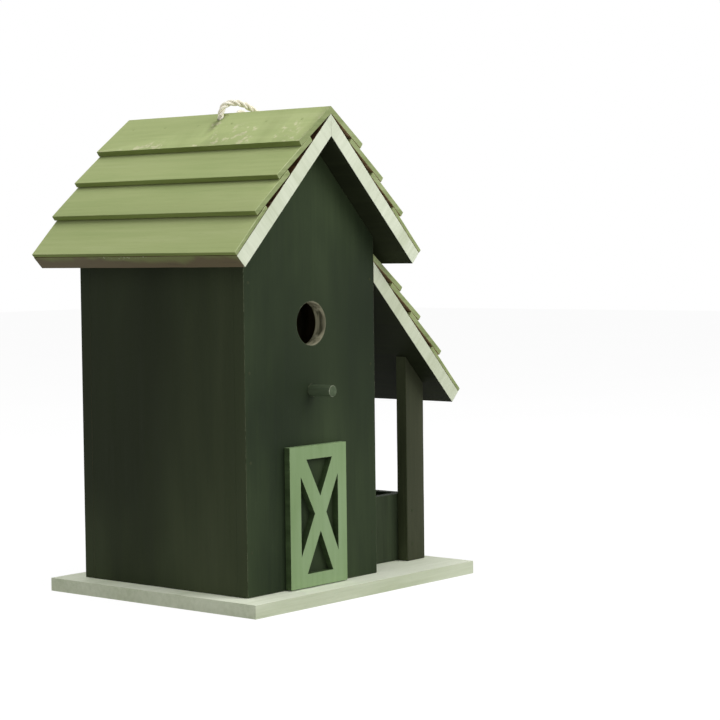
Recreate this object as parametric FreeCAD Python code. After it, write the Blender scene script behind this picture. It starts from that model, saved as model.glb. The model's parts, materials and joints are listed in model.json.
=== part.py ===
"""Birdhouse: a gabled nest box on a base board, with a lean-to porch, a trough and a rear clean-out door.

The frame is in millimetres: +Z is up, the front with the entrance faces -Y, and the porch is on the +X side.
The origin is the centre of the base board's underside. Every wooden piece is flat board, butt-jointed and
nailed. A slope frame (s, n) is used for each roof: s runs down the slope from the upper outer edge of the
roof panel, and n stands off the panel's upper face.
"""
import FreeCAD, Part
import math
import os

from FreeCAD import Vector

os.makedirs("parts", exist_ok=True)

# ---------------------------------------------------------------- base board
base_width = 254.0
base_depth = 211.0
base_t = 10.0

# ---------------------------------------------------------------- nest box
house_left_margin = 17.5        # base board's left edge to the left wall
house_front_margin = 23.5       # base board's front edge to the front wall
house_width = 145.0
house_depth = 168.0
wall_t = 10.0
apex_z = 338.5                  # underside of the roof at the ridge
pitch = 45.0                    # both roofs, in degrees

entrance_r = 16.0
entrance_z = 203.0

perch_r = 4.25
perch_z = 154.0
perch_reach = 20.0
glue_gap = 0.05                 # round a glued peg, on the radius

# ---------------------------------------------------------------- roofs
roof_slope_length = 132.0       # underside of the main roof, ridge to eave
roof_t = 11.5
roof_front_overhang = 21.5
roof_back_overhang = 19.0

porch_top_z = 231.5             # underside of the porch roof at the wall
porch_slope_length = 137.5

shingle_t = 4.3
eave_shingle_t = 3.2            # the lowest course is thinner and lies flat
shingle_overlap = 11.5
roof_exposures = (40.3, 34.2, 34.4)     # the eave course takes the rest of the slope
porch_exposures = (40.0, 32.5, 38.0)

# ---------------------------------------------------------------- porch
post_width = 22.0
post_t = 10.0
post_offset = 59.3              # right wall to the post's near edge
post_setback = 17.0             # front wall's face to the post's face

trough_t = 8.0
trough_z = 63.0                 # top of the trough's panels
trough_reach = 72.5             # right wall to the trough's outer face

# ---------------------------------------------------------------- barn-door trim
trim_width = 63.0
trim_height = 103.5
trim_t = 5.0
trim_gap = 0.6                  # above the base board
trim_left_stile = 11.8
trim_right_stile = 9.8
trim_rail = 9.8
trim_brace = 11.4
trim_cross = (2.0, 1.7)         # where the braces cross, right of the board's middle and above it

# ---------------------------------------------------------------- clean-out door
door_width = 89.0
door_height = 105.0
door_gap = 1.5                  # all round the door
doorway_sill = 20.0             # base board's top to the doorway

hinge_height = 22.0
hinge_inset = 9.0               # door's end to the hinge's end
hinge_leaf = 16.0               # pin's axis to the leaf's outer edge
hinge_leaf_t = 1.0
knuckle_r = 2.2
knuckle_standoff = 0.2          # knuckle to the board behind it
knuckle_gap = 0.3
hinge_pin_r = 1.0
hinge_pin_fit = 0.05            # running clearance, on the radius
hinge_pin_head_r = 1.7
hinge_pin_head_t = 0.8

screw_r = 0.9
screw_hole_r = 1.2
screw_head_r = 2.0
screw_head_t = 0.9
screw_length = 8.0
screw_spread = 13.0             # between the two screws of a leaf

button_length = 32.0
button_width = 11.0
button_t = 6.0
button_seat_gap = 0.3           # to the wall, and to the screw's head
button_edge = 9.0               # doorway's edge to the button's pivot
button_screw_r = 2.0
button_screw_fit = 0.05
button_screw_head_r = 3.8
button_screw_head_t = 1.8
button_screw_bite = 8.0

knob_r = 7.0
knob_neck_r = 4.5
knob_neck = 5.0
knob_head = 7.0
knob_round = 2.8
knob_peg_r = 3.0
knob_peg = 8.0
knob_edge = 18.0                # door's free edge to the knob's axis

# ---------------------------------------------------------------- nails and base screws
brad_r = 0.7
brad_head_r = 1.3
brad_head_t = 0.8
wall_brad = 25.0
roof_brad = 25.0
shingle_brad = 13.0
trim_brad = 11.0
base_screw_r = 1.7
base_screw_head_r = 3.6
base_screw_head_t = 2.2
base_screw_recess = 0.4         # head below the base board's underside
base_screw_play = 0.2           # board round the screw, on the radius
base_screw_length = 24.0

# ---------------------------------------------------------------- hanging rope
rope_d = 5.0
rope_hole_r = 2.9
knot_r = 6.5
knot_seat_gap = 0.3
rope_left_hole = (4.5, 1.5)     # distance left of the ridge, y
rope_right_hole = (14.0, 2.0)   # distance right of the ridge, y
# The loop from the left hole, over the ridge, down the right slope and back: (right of the ridge, y, z)
rope_route = [
    (-4.5, 1.5, 358.2),
    (-4.35, 1.3, 363.8),
    (-0.5, -2.5, 367.9),
    (6.8, -7.8, 367.8),
    (13.5, -12.0, 364.2),
    (22.5, -17.5, 356.3),
    (33.0, -23.5, 345.2),
    (44.0, -29.0, 332.4),
    (55.0, -31.0, 320.0),
    (66.0, -28.5, 308.5),
    (74.0, -20.0, 300.5),
    (76.5, -7.0, 298.0),
    (72.0, 5.5, 302.5),
    (62.0, 13.0, 313.0),
    (50.5, 14.5, 326.0),
    (40.0, 11.5, 339.5),
    (32.0, 8.0, 351.0),
    (24.5, 5.2, 361.8),
    (18.3, 3.2, 362.0),
    (14.3, 2.1, 358.0),
    (14.0, 2.0, 352.3),
]
rope_bend_share = 0.45          # share of a straight run that the bend at its end takes

# ---------------------------------------------------------------- places worked out from the sizes
slope = math.radians(pitch)
wall_left = -base_width / 2 + house_left_margin
wall_right = wall_left + house_width
ridge_x = (wall_left + wall_right) / 2
wall_front = -base_depth / 2 + house_front_margin
wall_back = wall_front + house_depth
eave_wall_z = apex_z - house_width / 2 * math.tan(slope)
panel_rise = roof_t / math.cos(slope)
ridge_panel_z = apex_z + panel_rise
roof_front = wall_front - roof_front_overhang
roof_back = wall_back + roof_back_overhang
roof_outer_length = roof_slope_length + roof_t * math.tan(slope)
porch_panel_z = porch_top_z + panel_rise
porch_outer_length = porch_slope_length + roof_t * math.tan(slope)

doorway_width = door_width + 2 * door_gap
doorway_height = door_height + 2 * door_gap
doorway_z = base_t + doorway_sill
doorway_left = ridge_x - doorway_width / 2
doorway_right = ridge_x + doorway_width / 2
door_left = doorway_left + door_gap
door_right = doorway_right - door_gap
door_z = doorway_z + door_gap
hinge_axis_x = doorway_left + door_gap / 2
hinge_axis_y = wall_back + knuckle_standoff + knuckle_r
hinge_bottoms = (door_z + hinge_inset, door_z + door_height - hinge_inset - hinge_height)
button_x = doorway_right + button_edge
button_z = door_z + door_height / 2

post_left = wall_right + post_offset
post_right = post_left + post_width
post_front_y = wall_front + post_setback
post_rear_y = wall_back - post_setback - post_t


# ---------------------------------------------------------------- shared shapes
def box(x0, x1, y0, y1, z0, z1):
    """A block between two corners."""
    return Part.makeBox(x1 - x0, y1 - y0, z1 - z0, Vector(x0, y0, z0))


def prism_y(outline, y0, y1):
    """An outline of (x, z) corners, drawn out along Y."""
    corners = [Vector(x, y0, z) for x, z in outline]
    face = Part.Face(Part.makePolygon(corners + corners[:1]))
    return face.extrude(Vector(0, y1 - y0, 0))


def rod(start, direction, radius, length):
    """A round bar."""
    return Part.makeCylinder(radius, length, start, direction)


def brad(head, direction, length):
    """A nail with a flat head, whose top is at the point given."""
    return rod(head, direction, brad_head_r, brad_head_t).fuse(rod(head, direction, brad_r, length))


def spread(low, high, count):
    """Places of equal spacing between two ends, half a space in from each."""
    step = (high - low) / count
    return [low + step * (i + 0.5) for i in range(count)]


class Slope:
    """One roof slope: turns (s, n) into (x, z). side is +1 where the roof falls towards +X."""

    def __init__(self, x, z, side):
        self.x = x
        self.z = z
        self.side = side

    def point(self, s, n):
        across = s * math.cos(slope) + n * math.sin(slope)
        down = s * math.sin(slope) - n * math.cos(slope)
        return (self.x + self.side * across, self.z - down)

    def inward(self, tilt=0.0):
        """The direction into a board that is tilted off the panel by that angle."""
        angle = slope - tilt
        return Vector(-self.side * math.sin(angle), 0, -math.cos(angle))

    def board(self, outline, y0, y1):
        return prism_y([self.point(s, n) for s, n in outline], y0, y1)


def panel_outline(outer_length):
    """A roof panel, cut upright at its upper end and square at its eave."""
    return [
        (0.0, 0.0),
        (outer_length, 0.0),
        (outer_length, -roof_t),
        (roof_t * math.tan(slope), -roof_t),
    ]


def course_layout(outer_length, exposures):
    """The shingle courses of one slope, from the ridge down: (upper end, lower end, tilt, thickness).

    The lowest course lies flat on the panel. Each one above it stands with its upper end on the panel and
    leans on the upper end of the course below, so a wedge of air shows under it.
    """
    butts = []
    reach = 0.0
    for exposure in exposures:
        reach += exposure
        butts.append(reach)
    butts.append(outer_length)
    heads = [0.0] + [butt - shingle_overlap for butt in butts[:-1]]
    courses = [(heads[-1], butts[-1], 0.0, eave_shingle_t)]
    for head, butt in zip(heads[-2::-1], butts[-2::-1]):
        below_head, _, below_tilt, below_t = courses[0]
        rest_s = below_head - below_t * math.sin(below_tilt)
        rest_n = below_t * math.cos(below_tilt)
        tilt = math.atan2(rest_n, rest_s - head)
        courses.insert(0, (head, butt, tilt, shingle_t))
    return courses


def course_outline(head, butt, tilt, thick):
    """One shingle's section. The first course is cut upright to meet its mate or the wall."""
    run, rise = math.cos(tilt), math.sin(tilt)
    length = (butt - head) / run
    toe = (head + length * run, length * rise)
    toe_top = (toe[0] - thick * rise, toe[1] + thick * run)
    if head > 0:
        head_top = (head - thick * rise, thick * run)
    else:
        lift = thick / math.cos(slope - tilt)
        head_top = (-lift * math.sin(slope), lift * math.cos(slope))
    return [(head, 0.0), toe, toe_top, head_top]


def course_brads(frame, course, y0, y1):
    """A row of nails through one shingle, near its upper end."""
    head, _, tilt, thick = course
    along = shingle_overlap / 2 if head > 0 else shingle_overlap
    s = head + along * math.cos(tilt) - thick * math.sin(tilt)
    n = along * math.sin(tilt) + thick * math.cos(tilt)
    x, z = frame.point(s, n)
    return [brad(Vector(x, y, z), frame.inward(tilt), shingle_brad) for y in spread(y0, y1, 6)]


left_slope = Slope(ridge_x, ridge_panel_z, -1)
right_slope = Slope(ridge_x, ridge_panel_z, 1)
porch_slope = Slope(wall_right, porch_panel_z, 1)
roof_courses = course_layout(roof_outer_length, roof_exposures)
porch_courses = course_layout(porch_outer_length, porch_exposures)


def rope_bore(side, hole):
    """The upright hole that one end of the rope goes through."""
    offset, y = hole
    low = apex_z - (offset + 2 * rope_hole_r) * math.tan(slope)
    high = ridge_panel_z + 2 * shingle_t
    return rod(Vector(ridge_x + side * offset, y, low), Vector(0, 0, 1), rope_hole_r, high - low)


# ---------------------------------------------------------------- nest box
def base_screw_points():
    """Where the screws go up into the walls' lower edges and the posts' feet."""
    points = []
    for x in (wall_left + wall_t / 2, wall_right - wall_t / 2):
        points += [(x, y) for y in spread(wall_front, wall_back, 2)]
    for y in (wall_front + wall_t / 2, wall_back - wall_t / 2):
        points += [(x, y) for x in spread(wall_left, wall_right, 2)]
    for y in (post_front_y, post_rear_y):
        points.append(((post_left + post_right) / 2, y + post_t / 2))
    return points


def base_screw(x, y, grow, length):
    """A countersunk screw, or the hole for one where grow is its clearance."""
    head = Vector(x, y, base_screw_recess)
    up = Vector(0, 0, 1)
    cone = Part.makeCone(base_screw_head_r + grow, base_screw_r + grow, base_screw_head_t, head, up)
    return cone.fuse(rod(head, up, base_screw_r + grow, length))


def make_base_plate():
    board = box(-base_width / 2, base_width / 2, -base_depth / 2, base_depth / 2, 0, base_t)
    for x, y in base_screw_points():
        mouth = rod(Vector(x, y, 0), Vector(0, 0, 1), base_screw_head_r + base_screw_play, base_screw_recess)
        board = board.cut(mouth.fuse(base_screw(x, y, base_screw_play, base_t)))
    return board


def make_base_screws():
    return [base_screw(x, y, 0, base_screw_length) for x, y in base_screw_points()]


def gable(y0, y1):
    """A full-width wall that fills the gable."""
    return prism_y([
        (wall_left, base_t),
        (wall_right, base_t),
        (wall_right, eave_wall_z),
        (ridge_x, apex_z),
        (wall_left, eave_wall_z),
    ], y0, y1)


def make_front_wall():
    wall = gable(wall_front, wall_front + wall_t)
    inward = Vector(0, 1, 0)
    entrance = rod(Vector(ridge_x, wall_front, entrance_z), inward, entrance_r, wall_t)
    perch_hole = rod(Vector(ridge_x, wall_front, perch_z), inward, perch_r + glue_gap, wall_t)
    return wall.cut(entrance).cut(perch_hole)


def make_back_wall():
    doorway = box(doorway_left, doorway_right, wall_back - wall_t, wall_back,
                  doorway_z, doorway_z + doorway_height)
    return gable(wall_back - wall_t, wall_back).cut(doorway)


def side_wall(outer_x, inner_x):
    """A side wall between the gables, with its top cut to the roof's slope."""
    inner_top = eave_wall_z + wall_t * math.tan(slope)
    outline = [(outer_x, base_t), (inner_x, base_t), (inner_x, inner_top), (outer_x, eave_wall_z)]
    return prism_y(outline, wall_front + wall_t, wall_back - wall_t)


def make_left_wall():
    return side_wall(wall_left, wall_left + wall_t)


def make_right_wall():
    return side_wall(wall_right, wall_right - wall_t)


def make_perch_dowel():
    start = Vector(ridge_x, wall_front - perch_reach, perch_z)
    return rod(start, Vector(0, 1, 0), perch_r, perch_reach + wall_t)


def trim_opening(first, second, crossing):
    """The triangle between two corners of the frame and the crossing, less half a brace on its two slopes."""
    half = trim_brace / 2
    side = second - first
    arm_a, arm_b = crossing - first, crossing - second
    length = side.Length
    point_a = first + side * (half / math.sin(side.getAngle(arm_a)) / length)
    point_b = second - side * (half / math.sin((side * -1).getAngle(arm_b)) / length)
    apex_angle = arm_a.getAngle(arm_b)
    outward = (arm_a.normalize() + arm_b.normalize()) * -1
    point_c = crossing + outward.normalize() * (half / math.sin(apex_angle / 2))
    return [(point.x, point.z) for point in (point_a, point_b, point_c)]


def make_barn_door_trim():
    """A flat frame with two crossed braces, cut from one board."""
    left, right = ridge_x - trim_width / 2, ridge_x + trim_width / 2
    low = base_t + trim_gap
    high = low + trim_height
    front = wall_front - trim_t
    board = box(left, right, front, wall_front, low, high)
    across, upward = trim_cross
    crossing = Vector(ridge_x + across, 0, (low + high) / 2 + upward)
    left, right, low, high = left + trim_left_stile, right - trim_right_stile, low + trim_rail, high - trim_rail
    corners = [Vector(x, 0, z) for x, z in ((left, low), (left, high), (right, high), (right, low))]
    for first, second in zip(corners, corners[1:] + corners[:1]):
        board = board.cut(prism_y(trim_opening(first, second, crossing), front, wall_front))
    return board


# ---------------------------------------------------------------- roofs
def make_roof_panel(frame, hole):
    panel = frame.board(panel_outline(roof_outer_length), roof_front, roof_back)
    return panel.cut(rope_bore(frame.side, hole))


def make_roof_shingles(frame, hole):
    boards = [frame.board(course_outline(*course), roof_front, roof_back) for course in roof_courses]
    boards[0] = boards[0].cut(rope_bore(frame.side, hole))
    return boards


def make_porch_roof_panel():
    return porch_slope.board(panel_outline(porch_outer_length), wall_front, wall_back)


def make_porch_shingles():
    return [porch_slope.board(course_outline(*course), wall_front, wall_back) for course in porch_courses]


# ---------------------------------------------------------------- porch
def post(y0):
    """A flat post whose top is cut to the porch roof."""
    near_top = porch_top_z - post_offset * math.tan(slope)
    far_top = near_top - post_width * math.tan(slope)
    outline = [(post_left, base_t), (post_right, base_t), (post_right, far_top), (post_left, near_top)]
    return prism_y(outline, y0, y0 + post_t)


def trough_end(y0):
    """A low panel from the wall out to the trough's side."""
    return box(wall_right, wall_right + trough_reach, y0, y0 + trough_t, base_t, trough_z)


trough_front_y = post_front_y + post_t
trough_rear_y = post_rear_y - trough_t


def make_trough_side_panel():
    outer = wall_right + trough_reach
    return box(outer - trough_t, outer, trough_front_y + trough_t, trough_rear_y, base_t, trough_z)


# ---------------------------------------------------------------- clean-out door
def make_cleanout_door():
    door = box(door_left, door_right, wall_back - wall_t, wall_back, door_z, door_z + door_height)
    peg_hole = rod(Vector(door_right - knob_edge, wall_back, button_z), Vector(0, -1, 0),
                   knob_peg_r + glue_gap, knob_peg)
    return door.cut(peg_hole)


def make_door_knob():
    """A turned knob: peg, neck and round-edged head."""
    out = Vector(0, 1, 0)
    face = Vector(door_right - knob_edge, wall_back, button_z)
    peg = rod(face - out * knob_peg, out, knob_peg_r, knob_peg)
    neck = rod(face, out, knob_neck_r, knob_neck)
    head = rod(face + out * knob_neck, out, knob_r, knob_head)
    head = head.makeFillet(knob_round, [edge for edge in head.Edges if isinstance(edge.Curve, Part.Circle)])
    return peg.fuse(neck).fuse(head)


def knuckle_spans(bottom):
    """The heights of a hinge's three knuckles, with a gap between each two."""
    span = (hinge_height - 2 * knuckle_gap) / 3
    starts = [bottom + i * (span + knuckle_gap) for i in range(3)]
    return [(start, start + span) for start in starts]


def hinge_leaf_at(bottom, way, spans):
    """One hinge leaf: a plate with its knuckles, on the side of the pin that way says."""
    near = knuckle_r + knuckle_gap
    faces = sorted((hinge_axis_x + way * near, hinge_axis_x + way * hinge_leaf))
    leaf = box(faces[0], faces[1], wall_back, wall_back + hinge_leaf_t, bottom, bottom + hinge_height)
    for low, high in spans:
        tab = sorted((hinge_axis_x, hinge_axis_x + way * near))
        leaf = leaf.fuse(box(tab[0], tab[1], wall_back, wall_back + hinge_leaf_t, low, high))
        leaf = leaf.fuse(rod(Vector(hinge_axis_x, hinge_axis_y, low), Vector(0, 0, 1), knuckle_r, high - low))
    bore = rod(Vector(hinge_axis_x, hinge_axis_y, bottom), Vector(0, 0, 1),
               hinge_pin_r + hinge_pin_fit, hinge_height)
    leaf = leaf.cut(bore)
    for point in leaf_screw_points(bottom, way):
        leaf = leaf.cut(rod(point, Vector(0, 1, 0), screw_hole_r, hinge_leaf_t))
    return leaf.removeSplitter()


def leaf_screw_points(bottom, way):
    """Where a leaf's screws enter the board."""
    x = hinge_axis_x + way * (hinge_leaf + knuckle_r) * 0.55
    middle = bottom + hinge_height / 2
    return [Vector(x, wall_back, middle + side * screw_spread / 2) for side in (-1, 1)]


def make_hinge_wall_leaves():
    return [hinge_leaf_at(z, -1, [knuckle_spans(z)[0], knuckle_spans(z)[2]]) for z in hinge_bottoms]


def make_hinge_door_leaves():
    return [hinge_leaf_at(z, 1, [knuckle_spans(z)[1]]) for z in hinge_bottoms]


def make_hinge_pins():
    pins = []
    for z in hinge_bottoms:
        shank = rod(Vector(hinge_axis_x, hinge_axis_y, z), Vector(0, 0, 1), hinge_pin_r, hinge_height)
        head = rod(Vector(hinge_axis_x, hinge_axis_y, z + hinge_height), Vector(0, 0, 1),
                   hinge_pin_head_r, hinge_pin_head_t)
        pins.append(shank.fuse(head))
    return pins


def make_hinge_screws(way):
    screws = []
    for z in hinge_bottoms:
        for point in leaf_screw_points(z, way):
            under_head = point + Vector(0, hinge_leaf_t, 0)
            shank = rod(under_head, Vector(0, -1, 0), screw_r, screw_length)
            screws.append(shank.fuse(rod(under_head, Vector(0, 1, 0), screw_head_r, screw_head_t)))
    return screws


def make_turn_button():
    """A block with round ends, stored upright, clear of the doorway."""
    y0 = wall_back + button_seat_gap
    reach = button_length / 2 - button_width / 2
    block = box(button_x - button_width / 2, button_x + button_width / 2, y0, y0 + button_t,
                button_z - reach, button_z + reach)
    for way in (-1, 1):
        end = Vector(button_x, y0, button_z + way * reach)
        block = block.fuse(rod(end, Vector(0, 1, 0), button_width / 2, button_t))
    hole = rod(Vector(button_x, y0, button_z), Vector(0, 1, 0), button_screw_r + button_screw_fit, button_t)
    return block.removeSplitter().cut(hole)


def make_turn_button_screw():
    top = wall_back + 2 * button_seat_gap + button_t
    shank_start = Vector(button_x, wall_back - button_screw_bite, button_z)
    shank = rod(shank_start, Vector(0, 1, 0), button_screw_r, top - shank_start.y)
    head = rod(Vector(button_x, top, button_z), Vector(0, 1, 0), button_screw_head_r, button_screw_head_t)
    return shank.fuse(head)


# ---------------------------------------------------------------- nails
def make_wall_brads():
    """Nails through the gables into the side walls, through the trim, and through the posts."""
    brads = []
    columns = (wall_left + wall_t / 2, wall_right - wall_t / 2)
    back_heights = [base_t + doorway_sill / 2, *spread(doorway_z + doorway_height, eave_wall_z, 3)]
    for x in columns:
        for z in spread(base_t, eave_wall_z, 4):
            brads.append(brad(Vector(x, wall_front, z), Vector(0, 1, 0), wall_brad))
        for z in back_heights:
            brads.append(brad(Vector(x, wall_back, z), Vector(0, -1, 0), wall_brad))
    trim_low = base_t + trim_gap + trim_rail / 2
    for x in (ridge_x - (trim_width - trim_left_stile) / 2, ridge_x + (trim_width - trim_right_stile) / 2):
        for z in (trim_low, trim_low + trim_height - trim_rail):
            brads.append(brad(Vector(x, wall_front - trim_t, z), Vector(0, 1, 0), trim_brad))
    post_x = post_left + (wall_right + trough_reach - post_left) / 2
    for z in spread(base_t, trough_z, 2):
        brads.append(brad(Vector(post_x, post_front_y, z), Vector(0, 1, 0), post_t + trough_t - 1))
        brads.append(brad(Vector(post_x, post_rear_y + post_t, z), Vector(0, -1, 0), post_t + trough_t - 1))
    return brads


def make_roof_brads():
    """Nails through the roof panels into the gables and the posts, hidden by the shingles."""
    brads = []
    rows = (wall_front + wall_t / 2, wall_back - wall_t / 2)
    reach = house_width / 2 / math.cos(slope)
    for frame in (left_slope, right_slope):
        for s in spread(roof_t * 2, reach, 3):
            x, z = frame.point(s, 0)
            brads += [brad(Vector(x, y, z), frame.inward(), roof_brad) for y in rows]
    bite = (roof_t + roof_brad) / 2     # depth of the middle of the nail's hold in the post
    s = (post_offset + post_width / 2 + bite * math.sin(slope)) / math.cos(slope)
    x, z = porch_slope.point(s, 0)
    for y in (post_front_y + post_t / 2, post_rear_y + post_t / 2):
        brads.append(brad(Vector(x, y, z), porch_slope.inward(), roof_brad))
    return brads


def make_shingle_brads():
    brads = []
    for frame in (left_slope, right_slope):
        for course in roof_courses:
            brads += course_brads(frame, course, roof_front, roof_back)
    for course in porch_courses:
        brads += course_brads(porch_slope, course, wall_front, wall_back)
    return brads


# ---------------------------------------------------------------- rope
def make_hanging_rope():
    """A round tube along the rope's route: straight runs joined by tangent arcs."""
    points = [Vector(ridge_x + u, y, z) for u, y, z in rope_route]
    edges, radii = [], []
    start = points[0]
    for before, corner, after in zip(points, points[1:], points[2:]):
        arrive, leave = corner - before, after - corner
        turn = arrive.getAngle(leave)
        setback = rope_bend_share * min(arrive.Length, leave.Length)
        radii.append(setback / math.tan(turn / 2))
        arrive.normalize()
        leave.normalize()
        arc_start, arc_end = corner - arrive * setback, corner + leave * setback
        centre_way = (leave - arrive).normalize()
        centre = corner + centre_way * (radii[-1] / math.cos(turn / 2))
        middle = centre - centre_way * radii[-1]
        edges.append(Part.LineSegment(start, arc_start).toShape())
        edges.append(Part.Arc(arc_start, middle, arc_end).toShape())
        start = arc_end
    edges.append(Part.LineSegment(start, points[-1]).toShape())
    path = Part.Wire(edges)
    profile = Part.Wire(Part.makeCircle(rope_d / 2, points[0], points[1] - points[0]))
    rope = path.makePipeShell([profile], True, False)
    print("rope radii in mm:", [round(radius, 1) for radius in radii])
    print("rope length in mm:", round(path.Length, 1), "volume ratio:",
          round(rope.Volume / (math.pi * rope_d ** 2 / 4 * path.Length), 4))
    return rope


def make_rope_knots():
    """Each end of the rope inside the roof: the stretch in its hole, and the knot under the panel."""
    knots = []
    for side, (offset, y), mouth in ((-1, rope_left_hole, rope_route[0]), (1, rope_right_hole, rope_route[-1])):
        x = ridge_x + side * offset
        drop = offset * math.tan(slope) + (knot_r + knot_seat_gap) / math.cos(slope)
        centre = Vector(x, y, apex_z - drop)
        stretch = rod(centre, Vector(0, 0, 1), rope_d / 2, mouth[2] - centre.z)
        knots.append(stretch.fuse(Part.makeSphere(knot_r, centre)))
    return knots


# ---------------------------------------------------------------- export
def export(node, *solids):
    """Write one node, as one solid or a group of separate solids."""
    shape = solids[0] if len(solids) == 1 else Part.makeCompound(list(solids))
    shape.exportStep(f"parts/{node}.step")


def main():
    export("base_plate", make_base_plate())
    export("front_wall", make_front_wall())
    export("back_wall", make_back_wall())
    export("left_wall", make_left_wall())
    export("right_wall", make_right_wall())
    export("perch_dowel", make_perch_dowel())
    export("barn_door_trim", make_barn_door_trim())

    for side, frame, hole in (("left", left_slope, rope_left_hole), ("right", right_slope, rope_right_hole)):
        export(f"roof_panel_{side}", make_roof_panel(frame, hole))
        for number, shingle in enumerate(make_roof_shingles(frame, hole), start=1):
            export(f"shingle_{side}_{number}", shingle)

    export("porch_roof_panel", make_porch_roof_panel())
    for number, shingle in enumerate(make_porch_shingles(), start=1):
        export(f"porch_shingle_{number}", shingle)
    export("porch_post_front", post(post_front_y))
    export("porch_post_rear", post(post_rear_y))
    export("trough_front_panel", trough_end(trough_front_y))
    export("trough_rear_panel", trough_end(trough_rear_y))
    export("trough_side_panel", make_trough_side_panel())

    export("cleanout_door", make_cleanout_door())
    export("door_knob", make_door_knob())
    export("hinge_wall_leaves", *make_hinge_wall_leaves())
    export("hinge_door_leaves", *make_hinge_door_leaves())
    export("hinge_pins", *make_hinge_pins())
    export("hinge_wall_screws", *make_hinge_screws(-1))
    export("hinge_door_screws", *make_hinge_screws(1))
    export("turn_button", make_turn_button())
    export("turn_button_screw", make_turn_button_screw())

    export("wall_brads", *make_wall_brads())
    export("roof_brads", *make_roof_brads())
    export("shingle_brads", *make_shingle_brads())
    export("base_screws", *make_base_screws())
    export("hanging_rope", make_hanging_rope())
    export("rope_knots", *make_rope_knots())


main()
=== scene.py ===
"""Looks of a painted wooden birdhouse: gabled nest box, shingled roofs, lean-to porch, rope and rear door."""

import json
import logging
import math
from dataclasses import dataclass
from enum import Enum
from typing import Any, Iterable, Optional, Sequence

import bmesh
import bpy
import numpy as np
from mathutils import Matrix, Vector, noise


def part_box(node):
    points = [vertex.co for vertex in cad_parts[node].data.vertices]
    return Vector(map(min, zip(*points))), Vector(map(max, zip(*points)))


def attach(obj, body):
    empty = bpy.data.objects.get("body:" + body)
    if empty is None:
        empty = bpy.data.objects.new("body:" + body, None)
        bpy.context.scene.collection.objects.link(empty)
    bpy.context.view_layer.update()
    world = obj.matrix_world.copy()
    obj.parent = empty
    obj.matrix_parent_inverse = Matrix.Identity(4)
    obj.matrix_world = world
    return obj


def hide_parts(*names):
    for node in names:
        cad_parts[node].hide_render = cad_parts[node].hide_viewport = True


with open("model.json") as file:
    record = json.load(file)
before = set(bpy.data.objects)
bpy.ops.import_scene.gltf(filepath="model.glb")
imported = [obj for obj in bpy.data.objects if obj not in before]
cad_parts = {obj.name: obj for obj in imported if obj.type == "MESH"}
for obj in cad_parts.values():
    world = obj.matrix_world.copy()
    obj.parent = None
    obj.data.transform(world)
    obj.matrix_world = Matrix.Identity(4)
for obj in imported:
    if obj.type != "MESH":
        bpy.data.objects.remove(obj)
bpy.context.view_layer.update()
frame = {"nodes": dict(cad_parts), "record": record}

log = logging.getLogger("birdhouse")

MM = 0.001
SLOPE = math.radians(45.0)          # both roofs
Colour = tuple[float, float, float]


# ------------------------------------------------------------------ colour and node helpers
def srgb(red: float, green: float, blue: float) -> Colour:
    """Turn a colour written as 0 to 255 into the linear values that Blender reads.

    Args:
        red, green, blue: the colour as a paint chart gives it.

    Returns:
        The three linear values.
    """
    def linear(value: float) -> float:
        """One channel from its screen value to its linear one."""
        value /= 255.0
        return value / 12.92 if value <= 0.04045 else ((value + 0.055) / 1.055) ** 2.4
    return linear(red), linear(green), linear(blue)


def scaled(colour: Colour, factor: float) -> Colour:
    """A colour made darker or lighter by a factor, never above white."""
    return tuple(min(1.0, value * factor) for value in colour)


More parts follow.
